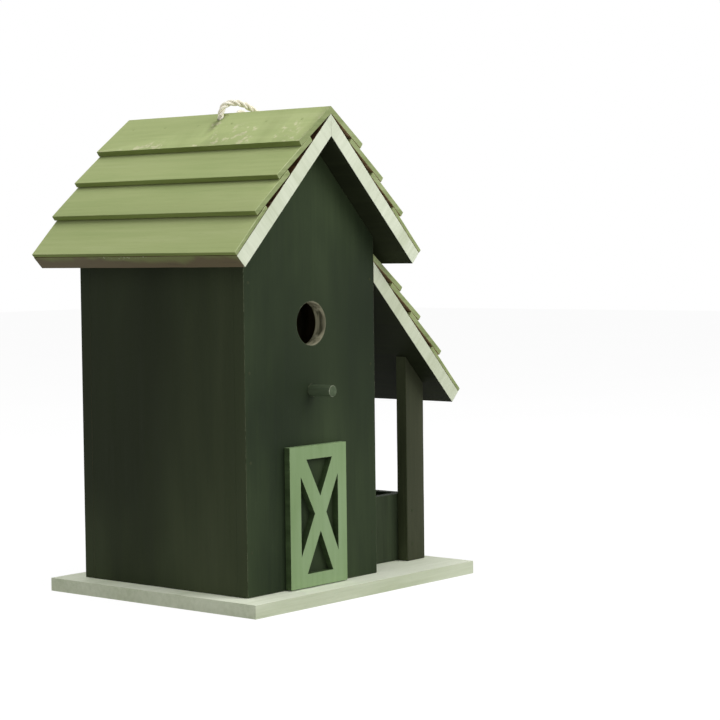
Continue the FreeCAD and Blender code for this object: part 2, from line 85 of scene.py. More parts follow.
class ShaderTree:
    """Adds nodes to one material, in the order they are read."""

    def __init__(self, name: str) -> None:
        """Start an empty material of that name."""
        self.material = bpy.data.materials.new(name)
        self.material.use_nodes = True
        self.tree = self.material.node_tree
        self.tree.nodes.clear()

    def add(self, kind: str, inputs: Optional[dict[Any, Any]] = None,
            **settings: Any) -> bpy.types.Node:
        """Add a node.

        Args:
            kind: the node's type.
            inputs: socket name or number to a value, or to the socket that feeds it.
            settings: the node's own properties.

        Returns:
            The node.
        """
        node = self.tree.nodes.new(kind)
        for key, value in settings.items():
            setattr(node, key, value)
        for key, value in (inputs or {}).items():
            if isinstance(value, bpy.types.NodeSocket):
                self.tree.links.new(value, node.inputs[key])
            elif isinstance(value, tuple) and len(value) == 3 and node.inputs[key].type == "RGBA":
                node.inputs[key].default_value = (*value, 1.0)
            else:
                node.inputs[key].default_value = value
        return node

    def math(self, operation: str, first: Any, second: Any = 0.0,
             clamp: bool = False) -> bpy.types.NodeSocket:
        """Join two values with a Math node and return its output."""
        return self.add("ShaderNodeMath", {0: first, 1: second}, operation=operation,
                        use_clamp=clamp).outputs[0]

    def blend(self, factor: Any, first: Any, second: Any, kind: str = "MIX") -> bpy.types.NodeSocket:
        """Mix two colours and return the result's socket."""
        node = self.add("ShaderNodeMix", data_type="RGBA", blend_type=kind)
        for key, value in ((0, factor), (6, first), (7, second)):
            if isinstance(value, bpy.types.NodeSocket):
                self.tree.links.new(value, node.inputs[key])
            else:
                node.inputs[key].default_value = (*value, 1.0) if isinstance(value, tuple) else value
        return node.outputs[2]

    def steps(self, factor: bpy.types.NodeSocket, low: float, high: float) -> bpy.types.NodeSocket:
        """Stretch a value so that low becomes 0 and high becomes 1, with a soft change between."""
        node = self.add("ShaderNodeMapRange", {0: factor, 1: low, 2: high},
                        interpolation_type="SMOOTHSTEP")
        return node.outputs[0]

    def ramp(self, factor: bpy.types.NodeSocket,
             stops: Sequence[tuple[float, Colour]]) -> bpy.types.NodeSocket:
        """Look a value up in a row of colours and return the colour's socket."""
        node = self.add("ShaderNodeValToRGB", {0: factor})
        elements = node.color_ramp.elements
        while len(elements) < len(stops):
            elements.new(0.5)
        for element, (place, colour) in zip(elements, stops):
            element.position = place
            element.color = (*colour, 1.0)
        return node.outputs[0]

    def noise(self, vector: bpy.types.NodeSocket, scale: float, detail: float = 4.0,
              roughness: float = 0.55, distortion: float = 0.0) -> bpy.types.NodeSocket:
        """A noise value at a place, from about 0.25 to 0.75."""
        inputs = {"Vector": vector, "Scale": scale, "Detail": detail, "Roughness": roughness,
                  "Distortion": distortion}
        return self.add("ShaderNodeTexNoise", inputs).outputs[0]

    def surface(self, shader: bpy.types.NodeSocket) -> bpy.types.Material:
        """Connect the finished shader and return the material."""
        self.add("ShaderNodeOutputMaterial", {0: shader})
        return self.material


class Grain(Enum):
    """Which way a board's grain and brush strokes run: a turn about Y, then the axis along them."""

    ALONG_X = (0.0, 0)
    ALONG_Y = (0.0, 1)
    ALONG_Z = (0.0, 2)
    DOWN_LEFT = (-45.0, 0)
    DOWN_RIGHT = (45.0, 0)


@dataclass(frozen=True)
class Paint:
    """A brushed paint on wood. Lengths are in metres, and colours are linear."""

    name: str
    mid: Colour
    light: Colour
    dark: Colour
    grain: Grain
    bare: Colour = srgb(196, 172, 132)
    cloud_size: float = 0.07
    cloud: float = 0.5
    streak: float = 0.5
    hairline: float = 0.16
    edge_wear: float = 0.45
    edge_width: float = 0.0012
    chips: float = 0.0
    roughness: float = 0.66
    gloss: float = 0.14
    relief: float = 0.35
    seed: float = 0.0
    # centre x, y, z and radius of a patch of painted shade, darkest at its middle
    painted_shade_patch: Optional[tuple[float, float, float, float]] = None

    def material(self) -> bpy.types.Material:
        """Build the paint's material, once.

        Returns:
            The material, which every piece with this paint shares.
        """
        known = bpy.data.materials.get(self.name)
        if known is not None:
            return known
        tree = ShaderTree(self.name)
        place = tree.add("ShaderNodeTexCoord").outputs["Object"]
        turn, axis = self.grain.value
        turned = tree.add("ShaderNodeMapping", {
            "Vector": place, "Location": (self.seed, self.seed * 0.7, self.seed * 0.4),
            "Rotation": (0.0, math.radians(turn), 0.0)}).outputs[0]
        stretch = [1.0, 1.0, 1.0]
        stretch[axis] = 0.045
        along = tree.add("ShaderNodeMapping", {"Vector": turned, "Scale": tuple(stretch)}).outputs[0]
        stretch[axis] = 0.3
        patchy = tree.add("ShaderNodeMapping", {"Vector": turned, "Scale": tuple(stretch)}).outputs[0]

        clouds = tree.noise(patchy, 1.0 / self.cloud_size, 3.0, 0.5, 0.4)
        strokes = tree.noise(along, 260.0, 5.0, 0.62, 0.15)
        fibres = tree.noise(along, 1500.0, 3.0, 0.7)
        tone = tree.math("ADD", tree.math("MULTIPLY", clouds, self.cloud),
                         tree.math("MULTIPLY", strokes, self.streak))
        tone = tree.math("DIVIDE", tone, self.cloud + self.streak)
        colour = tree.ramp(tone, ((0.33, self.dark), (0.5, self.mid), (0.67, self.light)))
        dim = tree.steps(fibres, 0.42, 0.3)
        colour = tree.blend(tree.math("MULTIPLY", dim, self.hairline), colour, scaled(self.dark, 0.55))
        lift = tree.steps(fibres, 0.6, 0.72)
        colour = tree.blend(tree.math("MULTIPLY", lift, self.hairline), colour,
                            scaled(self.light, 1.12))

        # painted shade: the paint darkens round the patch's centre
        if self.painted_shade_patch is not None:
            colour = tree.blend(self.painted_shade_mask(tree, place, clouds), colour, scaled(self.dark, 0.75))

        worn = self.worn_edges(tree, turned)
        if self.chips > 0:
            worn = tree.math("MAXIMUM", worn, self.flakes(tree, turned))
        bare = tree.ramp(fibres, ((0.35, scaled(self.bare, 0.6)), (0.65, self.bare)))
        colour = tree.blend(worn, colour, bare)

        height = tree.math("ADD", tree.math("MULTIPLY", strokes, 0.5), tree.math("MULTIPLY", fibres,
                                                                                 0.5))
        height = tree.math("SUBTRACT", height, tree.math("MULTIPLY", worn, 0.3))
        bump = tree.add("ShaderNodeBump", {"Strength": self.relief, "Distance": 0.0004,
                                           "Height": height})
        rough = tree.math("ADD", self.roughness - 0.08, tree.math("MULTIPLY", strokes, 0.22))
        shader = tree.add("ShaderNodeBsdfPrincipled", {
            "Base Color": colour, "Roughness": rough, "Normal": bump.outputs[0],
            "Specular IOR Level": self.gloss})
        return tree.surface(shader.outputs[0])

    def worn_edges(self, tree: ShaderTree, place: bpy.types.NodeSocket) -> bpy.types.NodeSocket:
        """How far the paint is rubbed through, close to the board's edges."""
        if self.edge_wear <= 0:
            return tree.math("MULTIPLY", place, 0.0)
        softened = tree.add("ShaderNodeBevel", {"Radius": self.edge_width}, samples=4).outputs[0]
        flat = tree.add("ShaderNodeNewGeometry").outputs["True Normal"]
        same = tree.add("ShaderNodeVectorMath", {0: softened, 1: flat},
                        operation="DOT_PRODUCT").outputs["Value"]
        edge = tree.steps(tree.math("SUBTRACT", 1.0, same), 0.04, 0.16)
        broken = tree.noise(place, 130.0, 5.0, 0.7)
        rubbed = tree.steps(broken, 0.66 - 0.3 * self.edge_wear, 0.72 - 0.3 * self.edge_wear)
        return tree.math("MULTIPLY", edge, rubbed)

    def painted_shade_mask(self, tree: ShaderTree, place: bpy.types.NodeSocket,
             clouds: bpy.types.NodeSocket) -> bpy.types.NodeSocket:
        """How much painted shade darkens the paint round the patch's centre, with a cloudy edge."""
        away = tree.add("ShaderNodeVectorMath", {0: place, 1: self.painted_shade_patch[:3]}, operation="DISTANCE")
        share = tree.math("DIVIDE", away.outputs["Value"], self.painted_shade_patch[3])
        share = tree.math("ADD", share, tree.math("MULTIPLY", tree.math("SUBTRACT", clouds, 0.5), 1.6))
        return tree.math("MULTIPLY", tree.steps(share, 1.0, 0.2), 0.55)

    def flakes(self, tree: ShaderTree, place: bpy.types.NodeSocket) -> bpy.types.NodeSocket:
        """Small places where the paint has come off in the middle of a face."""
        groups = tree.steps(tree.noise(place, 22.0, 2.0), 0.56, 0.66)
        specks = tree.steps(tree.noise(place, 330.0, 4.0, 0.6), 0.7 - 0.12 * self.chips,
                            0.74 - 0.12 * self.chips)
        return tree.math("MULTIPLY", groups, specks)


@dataclass(frozen=True)
class BareWood:
    """Unpainted wood, with growth rings drawn out along the grain."""

    name: str
    pale: Colour
    deep: Colour
    grain: Grain
    roughness: float = 0.78

    def material(self) -> bpy.types.Material:
        """Build the wood's material, once, and return it."""
        known = bpy.data.materials.get(self.name)
        if known is not None:
            return known
        tree = ShaderTree(self.name)
        place = tree.add("ShaderNodeTexCoord").outputs["Object"]
        turn, axis = self.grain.value
        turned = tree.add("ShaderNodeMapping", {
            "Vector": place, "Rotation": (0.0, math.radians(turn), 0.0)}).outputs[0]
        stretch = [1.0, 1.0, 1.0]
        stretch[axis] = 0.06
        along = tree.add("ShaderNodeMapping", {"Vector": turned, "Scale": tuple(stretch)}).outputs[0]
        rings = tree.noise(along, 120.0, 3.0, 0.5, 1.2)
        pores = tree.noise(along, 1400.0, 3.0, 0.7)
        colour = tree.ramp(rings, ((0.35, self.deep), (0.6, self.pale)))
        colour = tree.blend(tree.math("MULTIPLY", tree.steps(pores, 0.42, 0.3), 0.4), colour,
                            scaled(self.deep, 0.6))
        height = tree.math("ADD", rings, pores)
        bump = tree.add("ShaderNodeBump", {"Strength": 0.4, "Distance": 0.0003, "Height": height})
        shader = tree.add("ShaderNodeBsdfPrincipled", {
            "Base Color": colour, "Roughness": self.roughness, "Normal": bump.outputs[0],
            "Specular IOR Level": 0.25})
        return tree.surface(shader.outputs[0])


@dataclass(frozen=True)
class EavePaint:
    """A lower board end: green that fades into a brown, rubbed stain, with pale chips along the top."""

    name: str
    upper: Colour
    lower: Colour
    chip: Colour
    low_z: float
    high_z: float

    def material(self) -> bpy.types.Material:
        """Build the material, once, and return it."""
        known = bpy.data.materials.get(self.name)
        if known is not None:
            return known
        tree = ShaderTree(self.name)
        place = tree.add("ShaderNodeTexCoord").outputs["Object"]
        along = tree.add("ShaderNodeMapping", {"Vector": place, "Scale": (1.0, 0.08, 1.0)}).outputs[0]
        height = tree.add("ShaderNodeSeparateXYZ", {0: place}).outputs[2]
        strokes = tree.noise(along, 300.0, 5.0, 0.6)
        patches = tree.noise(place, 26.0, 3.0, 0.5)
        fade = tree.add("ShaderNodeMapRange", {0: height, 1: self.low_z, 2: self.high_z}).outputs[0]
        fade = tree.math("ADD", fade, tree.math("MULTIPLY", tree.math("SUBTRACT", patches, 0.5), 1.6))
        colour = tree.blend(tree.steps(fade, 0.3, 0.75), self.lower, self.upper)
        colour = tree.blend(tree.math("MULTIPLY", tree.steps(strokes, 0.45, 0.3), 0.5), colour,
                            scaled(self.lower, 0.5))
        chipped = tree.math("MULTIPLY", tree.steps(tree.noise(place, 420.0, 4.0, 0.6), 0.6, 0.64),
                            tree.steps(tree.noise(along, 60.0, 2.0), 0.55, 0.62))
        chipped = tree.math("MULTIPLY", chipped, tree.steps(fade, 0.55, 0.9))
        colour = tree.blend(chipped, colour, self.chip)
        bump = tree.add("ShaderNodeBump", {"Strength": 0.35, "Distance": 0.0004, "Height": strokes})
        shader = tree.add("ShaderNodeBsdfPrincipled", {
            "Base Color": colour, "Roughness": 0.66, "Normal": bump.outputs[0],
            "Specular IOR Level": 0.3})
        return tree.surface(shader.outputs[0])


@dataclass(frozen=True)
class Metal:
    """Plated or plain steel with fine scuffs and a little tarnish."""

    name: str
    colour: Colour
    tarnish: Colour
    roughness: float
    metallic: float = 1.0

    def material(self) -> bpy.types.Material:
        """Build the material, once, and return it."""
        known = bpy.data.materials.get(self.name)
        if known is not None:
            return known
        tree = ShaderTree(self.name)
        place = tree.add("ShaderNodeTexCoord").outputs["Object"]
        blots = tree.noise(place, 420.0, 4.0, 0.6)
        scuffs = tree.noise(tree.add("ShaderNodeMapping", {
            "Vector": place, "Scale": (1.0, 1.0, 0.12)}).outputs[0], 3200.0, 3.0, 0.7)
        colour = tree.blend(tree.steps(blots, 0.48, 0.66), self.colour, self.tarnish)
        rough = tree.math("ADD", self.roughness, tree.math("MULTIPLY", scuffs, 0.2))
        bump = tree.add("ShaderNodeBump", {"Strength": 0.2, "Distance": 0.0001, "Height": scuffs})
        shader = tree.add("ShaderNodeBsdfPrincipled", {
            "Base Color": colour, "Roughness": rough, "Metallic": self.metallic,
            "Normal": bump.outputs[0]})
        return tree.surface(shader.outputs[0])


@dataclass(frozen=True)
class RopeFibre:
    """Twisted natural fibre, in pale and deeper cream streaks that run with the twist, and soft blots."""

    name: str
    pale: Colour
    deep: Colour
    attribute: str = "fibre"

    def material(self) -> bpy.types.Material:
        """Build the material, once, and return it."""
        known = bpy.data.materials.get(self.name)
        if known is not None:
            return known
        tree = ShaderTree(self.name)
        place = tree.add("ShaderNodeTexCoord").outputs["Object"]
        lie = tree.add("ShaderNodeAttribute", attribute_name=self.attribute).outputs["Vector"]
        twisted = tree.noise(lie, 1.0, 4.0, 0.7)
        blots = tree.noise(place, 240.0, 3.0, 0.6)
        tone = tree.math("ADD", tree.math("MULTIPLY", twisted, 0.6), tree.math("MULTIPLY", blots, 0.4))
        colour = tree.ramp(tone, ((0.34, self.deep), (0.58, self.pale)))
        bump = tree.add("ShaderNodeBump", {"Strength": 0.6, "Distance": 0.0003, "Height": twisted})
        shader = tree.add("ShaderNodeBsdfPrincipled", {
            "Base Color": colour, "Roughness": 0.9, "Normal": bump.outputs[0], "Sheen Weight": 0.3,
            "Specular IOR Level": 0.15})
        return tree.surface(shader.outputs[0])


# ------------------------------------------------------------------ the finishes of this birdhouse
# the front wall's paint carries a patch of painted shade round a centre on that wall
WALL_FRONT = Paint("wall_green_front", srgb(48, 60, 37), srgb(64, 77, 50), srgb(30, 41, 23),
                   Grain.ALONG_Z,
                   bare=srgb(164, 168, 138), cloud_size=0.085, cloud=0.8, streak=0.2, edge_wear=0.8,
                   edge_width=0.0009, hairline=0.16, seed=0.31, painted_shade_patch=(-0.02, -0.082, 0.185, 0.105))
# the side walls' paint carries a patch of painted shade round a centre on the left wall
WALL_SIDE = Paint("wall_green_side", srgb(50, 58, 36), srgb(66, 73, 50), srgb(34, 41, 22),
                  Grain.ALONG_Z,
                  cloud_size=0.1, cloud=0.85, streak=0.15, edge_wear=0.0, hairline=0.12, seed=0.73,
                  painted_shade_patch=(-0.11, 0.02, 0.15, 0.13))
POST_GREEN = Paint("post_green", srgb(54, 58, 40), srgb(64, 67, 49), srgb(41, 45, 30), Grain.ALONG_Z,
                   cloud_size=0.05, cloud=0.6, streak=0.4, edge_wear=0.0, hairline=0.16, seed=1.17)
# a lighter copy of the post green for the posts' left faces: painted light on the shaded side
POST_SIDE_PAINTED_LIGHT = Paint("post_green_side_painted_light", srgb(78, 85, 60), srgb(92, 98, 72), srgb(60, 66, 44),
                  Grain.ALONG_Z,
                  cloud_size=0.05, cloud=0.6, streak=0.4, edge_wear=0.0, hairline=0.16, seed=1.41)
TROUGH_GREEN = Paint("trough_green", srgb(54, 64, 44), srgb(66, 78, 53), srgb(40, 48, 32),
                     Grain.ALONG_Z,
                     bare=srgb(120, 124, 100), cloud_size=0.03, cloud=0.6, edge_wear=0.15, seed=1.9)
# the roofs' undersides: dark green paint, made darker still as painted shade under the eaves
SOFFIT_GREEN_PAINTED_SHADE = Paint("soffit_green_painted_shade", srgb(35, 40, 22), srgb(44, 50, 30), srgb(26, 30, 15),
                     Grain.ALONG_Y,
                     cloud_size=0.06, edge_wear=0.0, seed=2.3)
SAGE = Paint("shingle_sage", srgb(167, 179, 122), srgb(177, 187, 134), srgb(155, 170, 111),
             Grain.ALONG_Y,
             bare=srgb(212, 214, 168), cloud_size=0.07, cloud=0.6, streak=0.45, hairline=0.18,
             edge_wear=0.45, edge_width=0.0008, relief=0.45, seed=0.11)
# a paler sage for the bevel between each shingle's top and front end: worn paint with a painted highlight
SAGE_EDGE_WEAR_AND_HIGHLIGHT = Paint("shingle_edge", srgb(178, 189, 138), srgb(206, 211, 168), srgb(158, 172, 116),
                  Grain.ALONG_X,
                  cloud_size=0.012, cloud=0.8, streak=0.2, edge_wear=0.0, seed=0.23)
# a darker copy of the sage for the shingles' downward butt faces: painted shade
SAGE_BUTT_PAINTED_SHADE = Paint("shingle_butt", srgb(121, 134, 74), srgb(138, 151, 89), srgb(98, 110, 56),
                  Grain.ALONG_Y,
                  bare=srgb(190, 190, 135), cloud_size=0.08, edge_wear=0.35, edge_width=0.0006,
                  seed=0.5)
SAGE_END = Paint("shingle_end", srgb(146, 158, 108), srgb(166, 177, 130), srgb(116, 129, 82),
                 Grain.ALONG_X,
                 bare=srgb(214, 212, 176), cloud_size=0.02, edge_wear=0.4, edge_width=0.0006, seed=0.9)
CREAM = Paint("base_cream", srgb(208, 215, 189), srgb(220, 226, 202), srgb(190, 199, 168),
              Grain.ALONG_X,
              bare=srgb(150, 140, 108), cloud_size=0.05, cloud=0.6, streak=0.5, hairline=0.14,
              edge_wear=0.1, relief=0.4, seed=3.1)
# a lighter copy of the base cream for the base's top face: painted light
CREAM_TOP_PAINTED_LIGHT = Paint("base_cream_top_painted_light", srgb(238, 244, 221), srgb(248, 252, 234), srgb(220, 228, 201),
                  Grain.ALONG_X,
                  bare=srgb(170, 160, 128), cloud_size=0.05, cloud=0.7, streak=0.4, hairline=0.14,
                  edge_wear=0.1, relief=0.4, seed=2.7)
CREAM_LEFT = Paint("strip_cream_left", srgb(216, 223, 199), srgb(228, 234, 212), srgb(200, 208, 180),
                   Grain.DOWN_LEFT, bare=srgb(150, 140, 105), cloud_size=0.03, hairline=0.2,
                   edge_wear=0.3,
                   edge_width=0.0006, relief=0.5, seed=3.7)
CREAM_RIGHT = Paint("strip_cream_right", srgb(216, 223, 199), srgb(228, 234, 212), srgb(200, 208, 180),
                    Grain.DOWN_RIGHT, bare=srgb(150, 140, 105), cloud_size=0.03, hairline=0.2,
                    edge_wear=0.3,
                    edge_width=0.0006, relief=0.5, seed=4.3)
# a darker copy of the strip cream for the porch roof's edge: painted shade under the main roof's overhang
CREAM_PORCH_PAINTED_SHADE = Paint("strip_cream_porch", srgb(202, 209, 183), srgb(214, 220, 197), srgb(186, 194, 165),
                    Grain.DOWN_RIGHT, bare=srgb(140, 132, 100), cloud_size=0.03, hairline=0.22,
                    edge_wear=0.3,
                    edge_width=0.0006, relief=0.5, seed=4.9)
TRIM_GREEN = Paint("trim_green", srgb(135, 159, 115), srgb(144, 167, 126), srgb(124, 149, 102),
                   Grain.ALONG_Z,
                   bare=srgb(190, 196, 150), cloud_size=0.04, streak=0.3, hairline=0.1, edge_wear=0.3,
                   edge_width=0.0006, relief=0.25, seed=5.2)
TRIM_CUT = Paint("trim_cut_edge", srgb(64, 81, 50), srgb(78, 97, 62), srgb(50, 65, 38), Grain.ALONG_Y,
                 cloud_size=0.02, edge_wear=0.0, seed=5.9)
PERCH_GREEN = Paint("perch_green", srgb(79, 92, 69), srgb(98, 112, 88), srgb(58, 70, 50), Grain.ALONG_Y,
                    bare=srgb(190, 188, 165), cloud_size=0.02, edge_wear=0.0, seed=6.4)
PERCH_RIM = Paint("perch_rim", srgb(136, 142, 122), srgb(214, 216, 196), srgb(74, 84, 62),
                  Grain.ALONG_Y,
                  cloud_size=0.004, cloud=0.8, streak=0.2, edge_wear=0.0, seed=6.9)
# raw wood of the roof panels' tops, darkened as painted shade in the gaps under the shingles
BARE_TOP_PAINTED_SHADE = BareWood("bare_roof_board_painted_shade", srgb(98, 70, 42), srgb(58, 42, 24), Grain.ALONG_Y)
BARE_UPRIGHT = BareWood("bare_upright", srgb(150, 132, 100), srgb(112, 92, 62), Grain.ALONG_Z)
BARE_LONG = BareWood("bare_lengthwise", srgb(170, 146, 108), srgb(128, 102, 68), Grain.ALONG_Y)
BARE_RIM = BareWood("bare_hole_rim", srgb(184, 180, 152), srgb(86, 86, 66), Grain.ALONG_Z)
ZINC = Metal("zinc_plate", srgb(196, 196, 190), srgb(140, 138, 126), 0.34)
PIN_STEEL = Metal("pin_steel", srgb(182, 182, 178), srgb(120, 118, 110), 0.28)
NAIL_OVER = Paint("nail_painted_over", srgb(160, 172, 116), srgb(170, 181, 128), srgb(148, 163, 106),
                  Grain.ALONG_Y, edge_wear=0.0, seed=0.11)
NAIL_STEEL = Metal("nail_steel", srgb(150, 148, 142), srgb(96, 88, 76), 0.45)
ROPE = RopeFibre("rope_fibre", srgb(255, 251, 236), srgb(238, 228, 200))


# ------------------------------------------------------------------ mesh helpers
def link(name: str, mesh: bpy.types.Mesh) -> bpy.types.Object:
    """Put a mesh in the scene, at the origin."""
    piece = bpy.data.objects.new(name, mesh)
    bpy.context.scene.collection.objects.link(piece)
    return piece


def merged_copy(node: str) -> bmesh.types.BMesh:
    """A CAD node's mesh, with its triangles joined and its flat faces whole again.

    Args:
        node: the CAD node's name.

    Returns:
        A new bmesh, which the caller frees.
    """
    bm = bmesh.new()
    bm.from_mesh(frame["nodes"][node].data)
    bmesh.ops.remove_doubles(bm, verts=bm.verts, dist=2e-6)
    bmesh.ops.dissolve_limit(bm, angle_limit=math.radians(0.6), verts=bm.verts, edges=bm.edges)
    bmesh.ops.recalc_face_normals(bm, faces=bm.faces)
    return bm


def soften_edges(bm: bmesh.types.BMesh, width: float,
                 joint: Optional[tuple[int, float]] = None) -> None:
    """Round every sharp edge of a board.

    Args:
        bm: the mesh, changed in place.
        width: the rounding's width in metres.
        joint: the axis and place of a plane where the board meets another, whose edges stay sharp.
    """
    edges = [e for e in bm.edges if len(e.link_faces) == 2 and e.calc_face_angle(0.0) > math.radians(28.0)]
    if joint is not None:
        axis, place = joint
        edges = [e for e in edges if any(abs(v.co[axis] - place) > 0.0001 for v in e.verts)]
    segments = 2
    bmesh.ops.bevel(bm, geom=edges, offset=width, offset_type="OFFSET", segments=segments, profile=0.5,
                    affect="EDGES", clamp_overlap=True)


def rough_saw(bm: bmesh.types.BMesh, axis: int, spacing: float, depth: float, seed: float) -> None:
    """Cut a board into short lengths and sink its surface unevenly, as hand-sanded boards are.

    Args:
        bm: the mesh, changed in place.
        axis: 0, 1 or 2 for the way the board is cut across.
        spacing: between the cuts, in metres.
        depth: the deepest hollow, in metres.
        seed: moves the pattern, so that no two boards match.
    """
    low = min(v.co[axis] for v in bm.verts)
    high = max(v.co[axis] for v in bm.verts)
    normal = Vector((0.0, 0.0, 0.0))
    normal[axis] = 1.0
    count = max(2, round((high - low) / spacing))
    for step in range(1, count):
        at = normal * (low + (high - low) * step / count)
        geometry = bm.verts[:] + bm.edges[:] + bm.faces[:]
        bmesh.ops.bisect_plane(bm, geom=geometry, dist=1e-7, plane_co=at, plane_no=normal)
    bm.normal_update()
    shift = Vector((seed, seed * 1.7, seed * 0.6))
    moves = [(v, v.normal * (depth * (0.5 + 0.5 * noise.noise(v.co * 55.0 + shift)))) for v in bm.verts]
    for vert, move in moves:
        vert.co -= move


def to_mesh(bm: bmesh.types.BMesh, name: str) -> bpy.types.Mesh:
    """Turn a bmesh into a mesh and free it."""
    mesh = bpy.data.meshes.new(name)
    bm.to_mesh(mesh)
    bm.free()
    return mesh


def smooth_curved_faces(piece: bpy.types.Object, angle: float = 32.0) -> None:
    """Shade round faces smoothly and keep edges that turn more than the angle crisp."""
    mesh = piece.data
    mesh.polygons.foreach_set("use_smooth", [True] * len(mesh.polygons))
    mesh.set_sharp_from_angle(angle=math.radians(angle))


Face = tuple[Sequence[float], Any]


@dataclass
class Board:
    """A wooden piece that stands for one CAD node, with a finish for each way it faces."""

    node: str
    body: str
    slot: str
    finish: Any
    faces: Sequence[Face] = ()
    edge: float = 0.0005
    cut_axis: Optional[int] = None
    cut_spacing: float = 0.008
    hollow: float = 0.00018
    facing: float = 0.8
    joint: Optional[tuple[int, float]] = None

    def build(self) -> bpy.types.Object:
        """Make the board from its node's shape and dress it.

        Returns:
            The finished piece.
        """
        bm = merged_copy(self.node)
        soften_edges(bm, self.edge, self.joint)
        if self.cut_axis is not None:
            seed = sum(ord(letter) for letter in self.node) * 0.37
            rough_saw(bm, self.cut_axis, self.cut_spacing, self.hollow, seed)
        bmesh.ops.triangulate(bm, faces=[f for f in bm.faces if len(f.verts) > 4])
        piece = link(f"{self.node}_board", to_mesh(bm, self.node))
        self.dress(piece)
        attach(piece, self.body)
        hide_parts(self.node)
        return piece

    def dress(self, piece: bpy.types.Object) -> None:
        """Give each face the finish of the way it points."""
        mesh = piece.data
        mesh.materials.append(self.finish.material())
        ways = []
        for direction, finish in self.faces:
            material = finish.material()
            if material.name not in mesh.materials:
                mesh.materials.append(material)
            ways.append((Vector(direction).normalized(), mesh.materials.find(material.name)))
        for polygon in mesh.polygons:
            for direction, index in ways:
                if polygon.normal.dot(direction) > self.facing:
                    polygon.material_index = index


def islands(mesh: bpy.types.Mesh) -> list[np.ndarray]:
    """The separate solids of a mesh, each as an array of its corners."""
    bm = bmesh.new()
    bm.from_mesh(mesh)
    bmesh.ops.remove_doubles(bm, verts=bm.verts, dist=2e-6)
    seen: set[int] = set()
    found = []
    bm.verts.ensure_lookup_table()
    for start in bm.verts:
        if start.index in seen:
            continue
        seen.add(start.index)
        stack, corners = [start], []
        while stack:
            vert = stack.pop()
            corners.append(tuple(vert.co))
            for edge in vert.link_edges:
                other = edge.other_vert(vert)
                if other.index not in seen:
                    seen.add(other.index)
                    stack.append(other)
        found.append(np.array(corners))
    bm.free()
    return found


def fastener_heads(node: str) -> list[tuple[Vector, Vector]]:
    """Where a group of nails or screws has its heads.

    Args:
        node: the CAD node that holds them.

    Returns:
        For each one, the middle of its head's top and the direction that it points out of the board.
    """
    heads = []
    for corners in islands(frame["nodes"][node].data):
        centre = corners.mean(0)
        axis = np.linalg.svd(corners - centre)[2][0]
        along = (corners - centre) @ axis
        radius = np.linalg.norm(corners - centre - np.outer(along, axis), axis=1)
        length = along.max() - along.min()
        ends = {way: radius[way * along > (way * along).max() - 0.02 * length].max() for way in (-1, 1)}
        way = max(ends, key=ends.get)
        middle = (corners.max(0) + corners.min(0)) / 2
        offset = (middle - centre) @ axis
        top = centre + axis * (along.max() if way > 0 else along.min())
        across = middle - centre - axis * offset
        heads.append((Vector(top + across), Vector(axis * way)))
    return heads


# ------------------------------------------------------------------ geometry-node helpers
class GeometryTree:
    """Builds one Geometry Nodes group with named inputs, and runs it on an object."""

    def __init__(self, name: str, sizes: dict[str, Any]) -> None:
        """Start a group.

        Args:
            name: the group's name.
            sizes: name to value of each input beside the geometry. A number is a float input, a whole
                number an integer input, and a material or an object an input of its own kind.
        """
        self.group = bpy.data.node_groups.new(name, "GeometryNodeTree")
        self.sizes = sizes
        kinds = {bool: "NodeSocketBool", int: "NodeSocketInt", float: "NodeSocketFloat",
                 bpy.types.Material: "NodeSocketMaterial", bpy.types.Object: "NodeSocketObject"}
        interface = self.group.interface
        interface.new_socket("Geometry", in_out="INPUT", socket_type="NodeSocketGeometry")
        self.keys: dict[str, str] = {}
        for label, value in sizes.items():
            socket = interface.new_socket(label, in_out="INPUT", socket_type=kinds[type(value)])
            self.keys[label] = socket.identifier
        interface.new_socket("Geometry", in_out="OUTPUT", socket_type="NodeSocketGeometry")
        self.source = self.add("NodeGroupInput")

    def add(self, kind: str, inputs: Optional[dict[Any, Any]] = None,
            **settings: Any) -> bpy.types.Node:
        """Add a node: inputs is socket to value or feeding socket, and settings its properties."""
        node = self.group.nodes.new(kind)
        for key, value in settings.items():
            setattr(node, key, value)
        for key, value in (inputs or {}).items():
            if isinstance(value, bpy.types.NodeSocket):
                self.group.links.new(value, node.inputs[key])
            else:
                node.inputs[key].default_value = value
        return node

    def math(self, operation: str, first: Any, second: Any = 0.0) -> bpy.types.NodeSocket:
        """Join two numbers and return the result's socket."""
        return self.add("ShaderNodeMath", {0: first, 1: second}, operation=operation).outputs[0]

    def finish(self, geometry: bpy.types.NodeSocket) -> None:
        """End the group: make instances real, give them the material, and send them out."""
        real = self.add("GeometryNodeRealizeInstances", {0: geometry})
        dressed = self.add("GeometryNodeSetMaterial", {0: real.outputs[0],
                                                       2: self.source.outputs["Material"]})
        self.add("NodeGroupOutput", {0: dressed.outputs[0]})

    def run(self, name: str, start: bpy.types.Mesh) -> bpy.types.Object:
        """Run the group on a mesh.

        Args:
            name: the new piece's name.
            start: the mesh it works from.

        Returns:
            An object with the plain result and no modifier.
        """
        helper = link(f"{name}_helper", start)
        modifier = helper.modifiers.new("build", "NODES")
        modifier.node_group = self.group
        for label, value in self.sizes.items():
            modifier[self.keys[label]] = value
        bpy.context.view_layer.update()
        evaluated = helper.evaluated_get(bpy.context.evaluated_depsgraph_get())
        mesh = bpy.data.meshes.new_from_object(evaluated)
        bpy.data.objects.remove(helper)
        mesh.name = name
        return link(name, mesh)


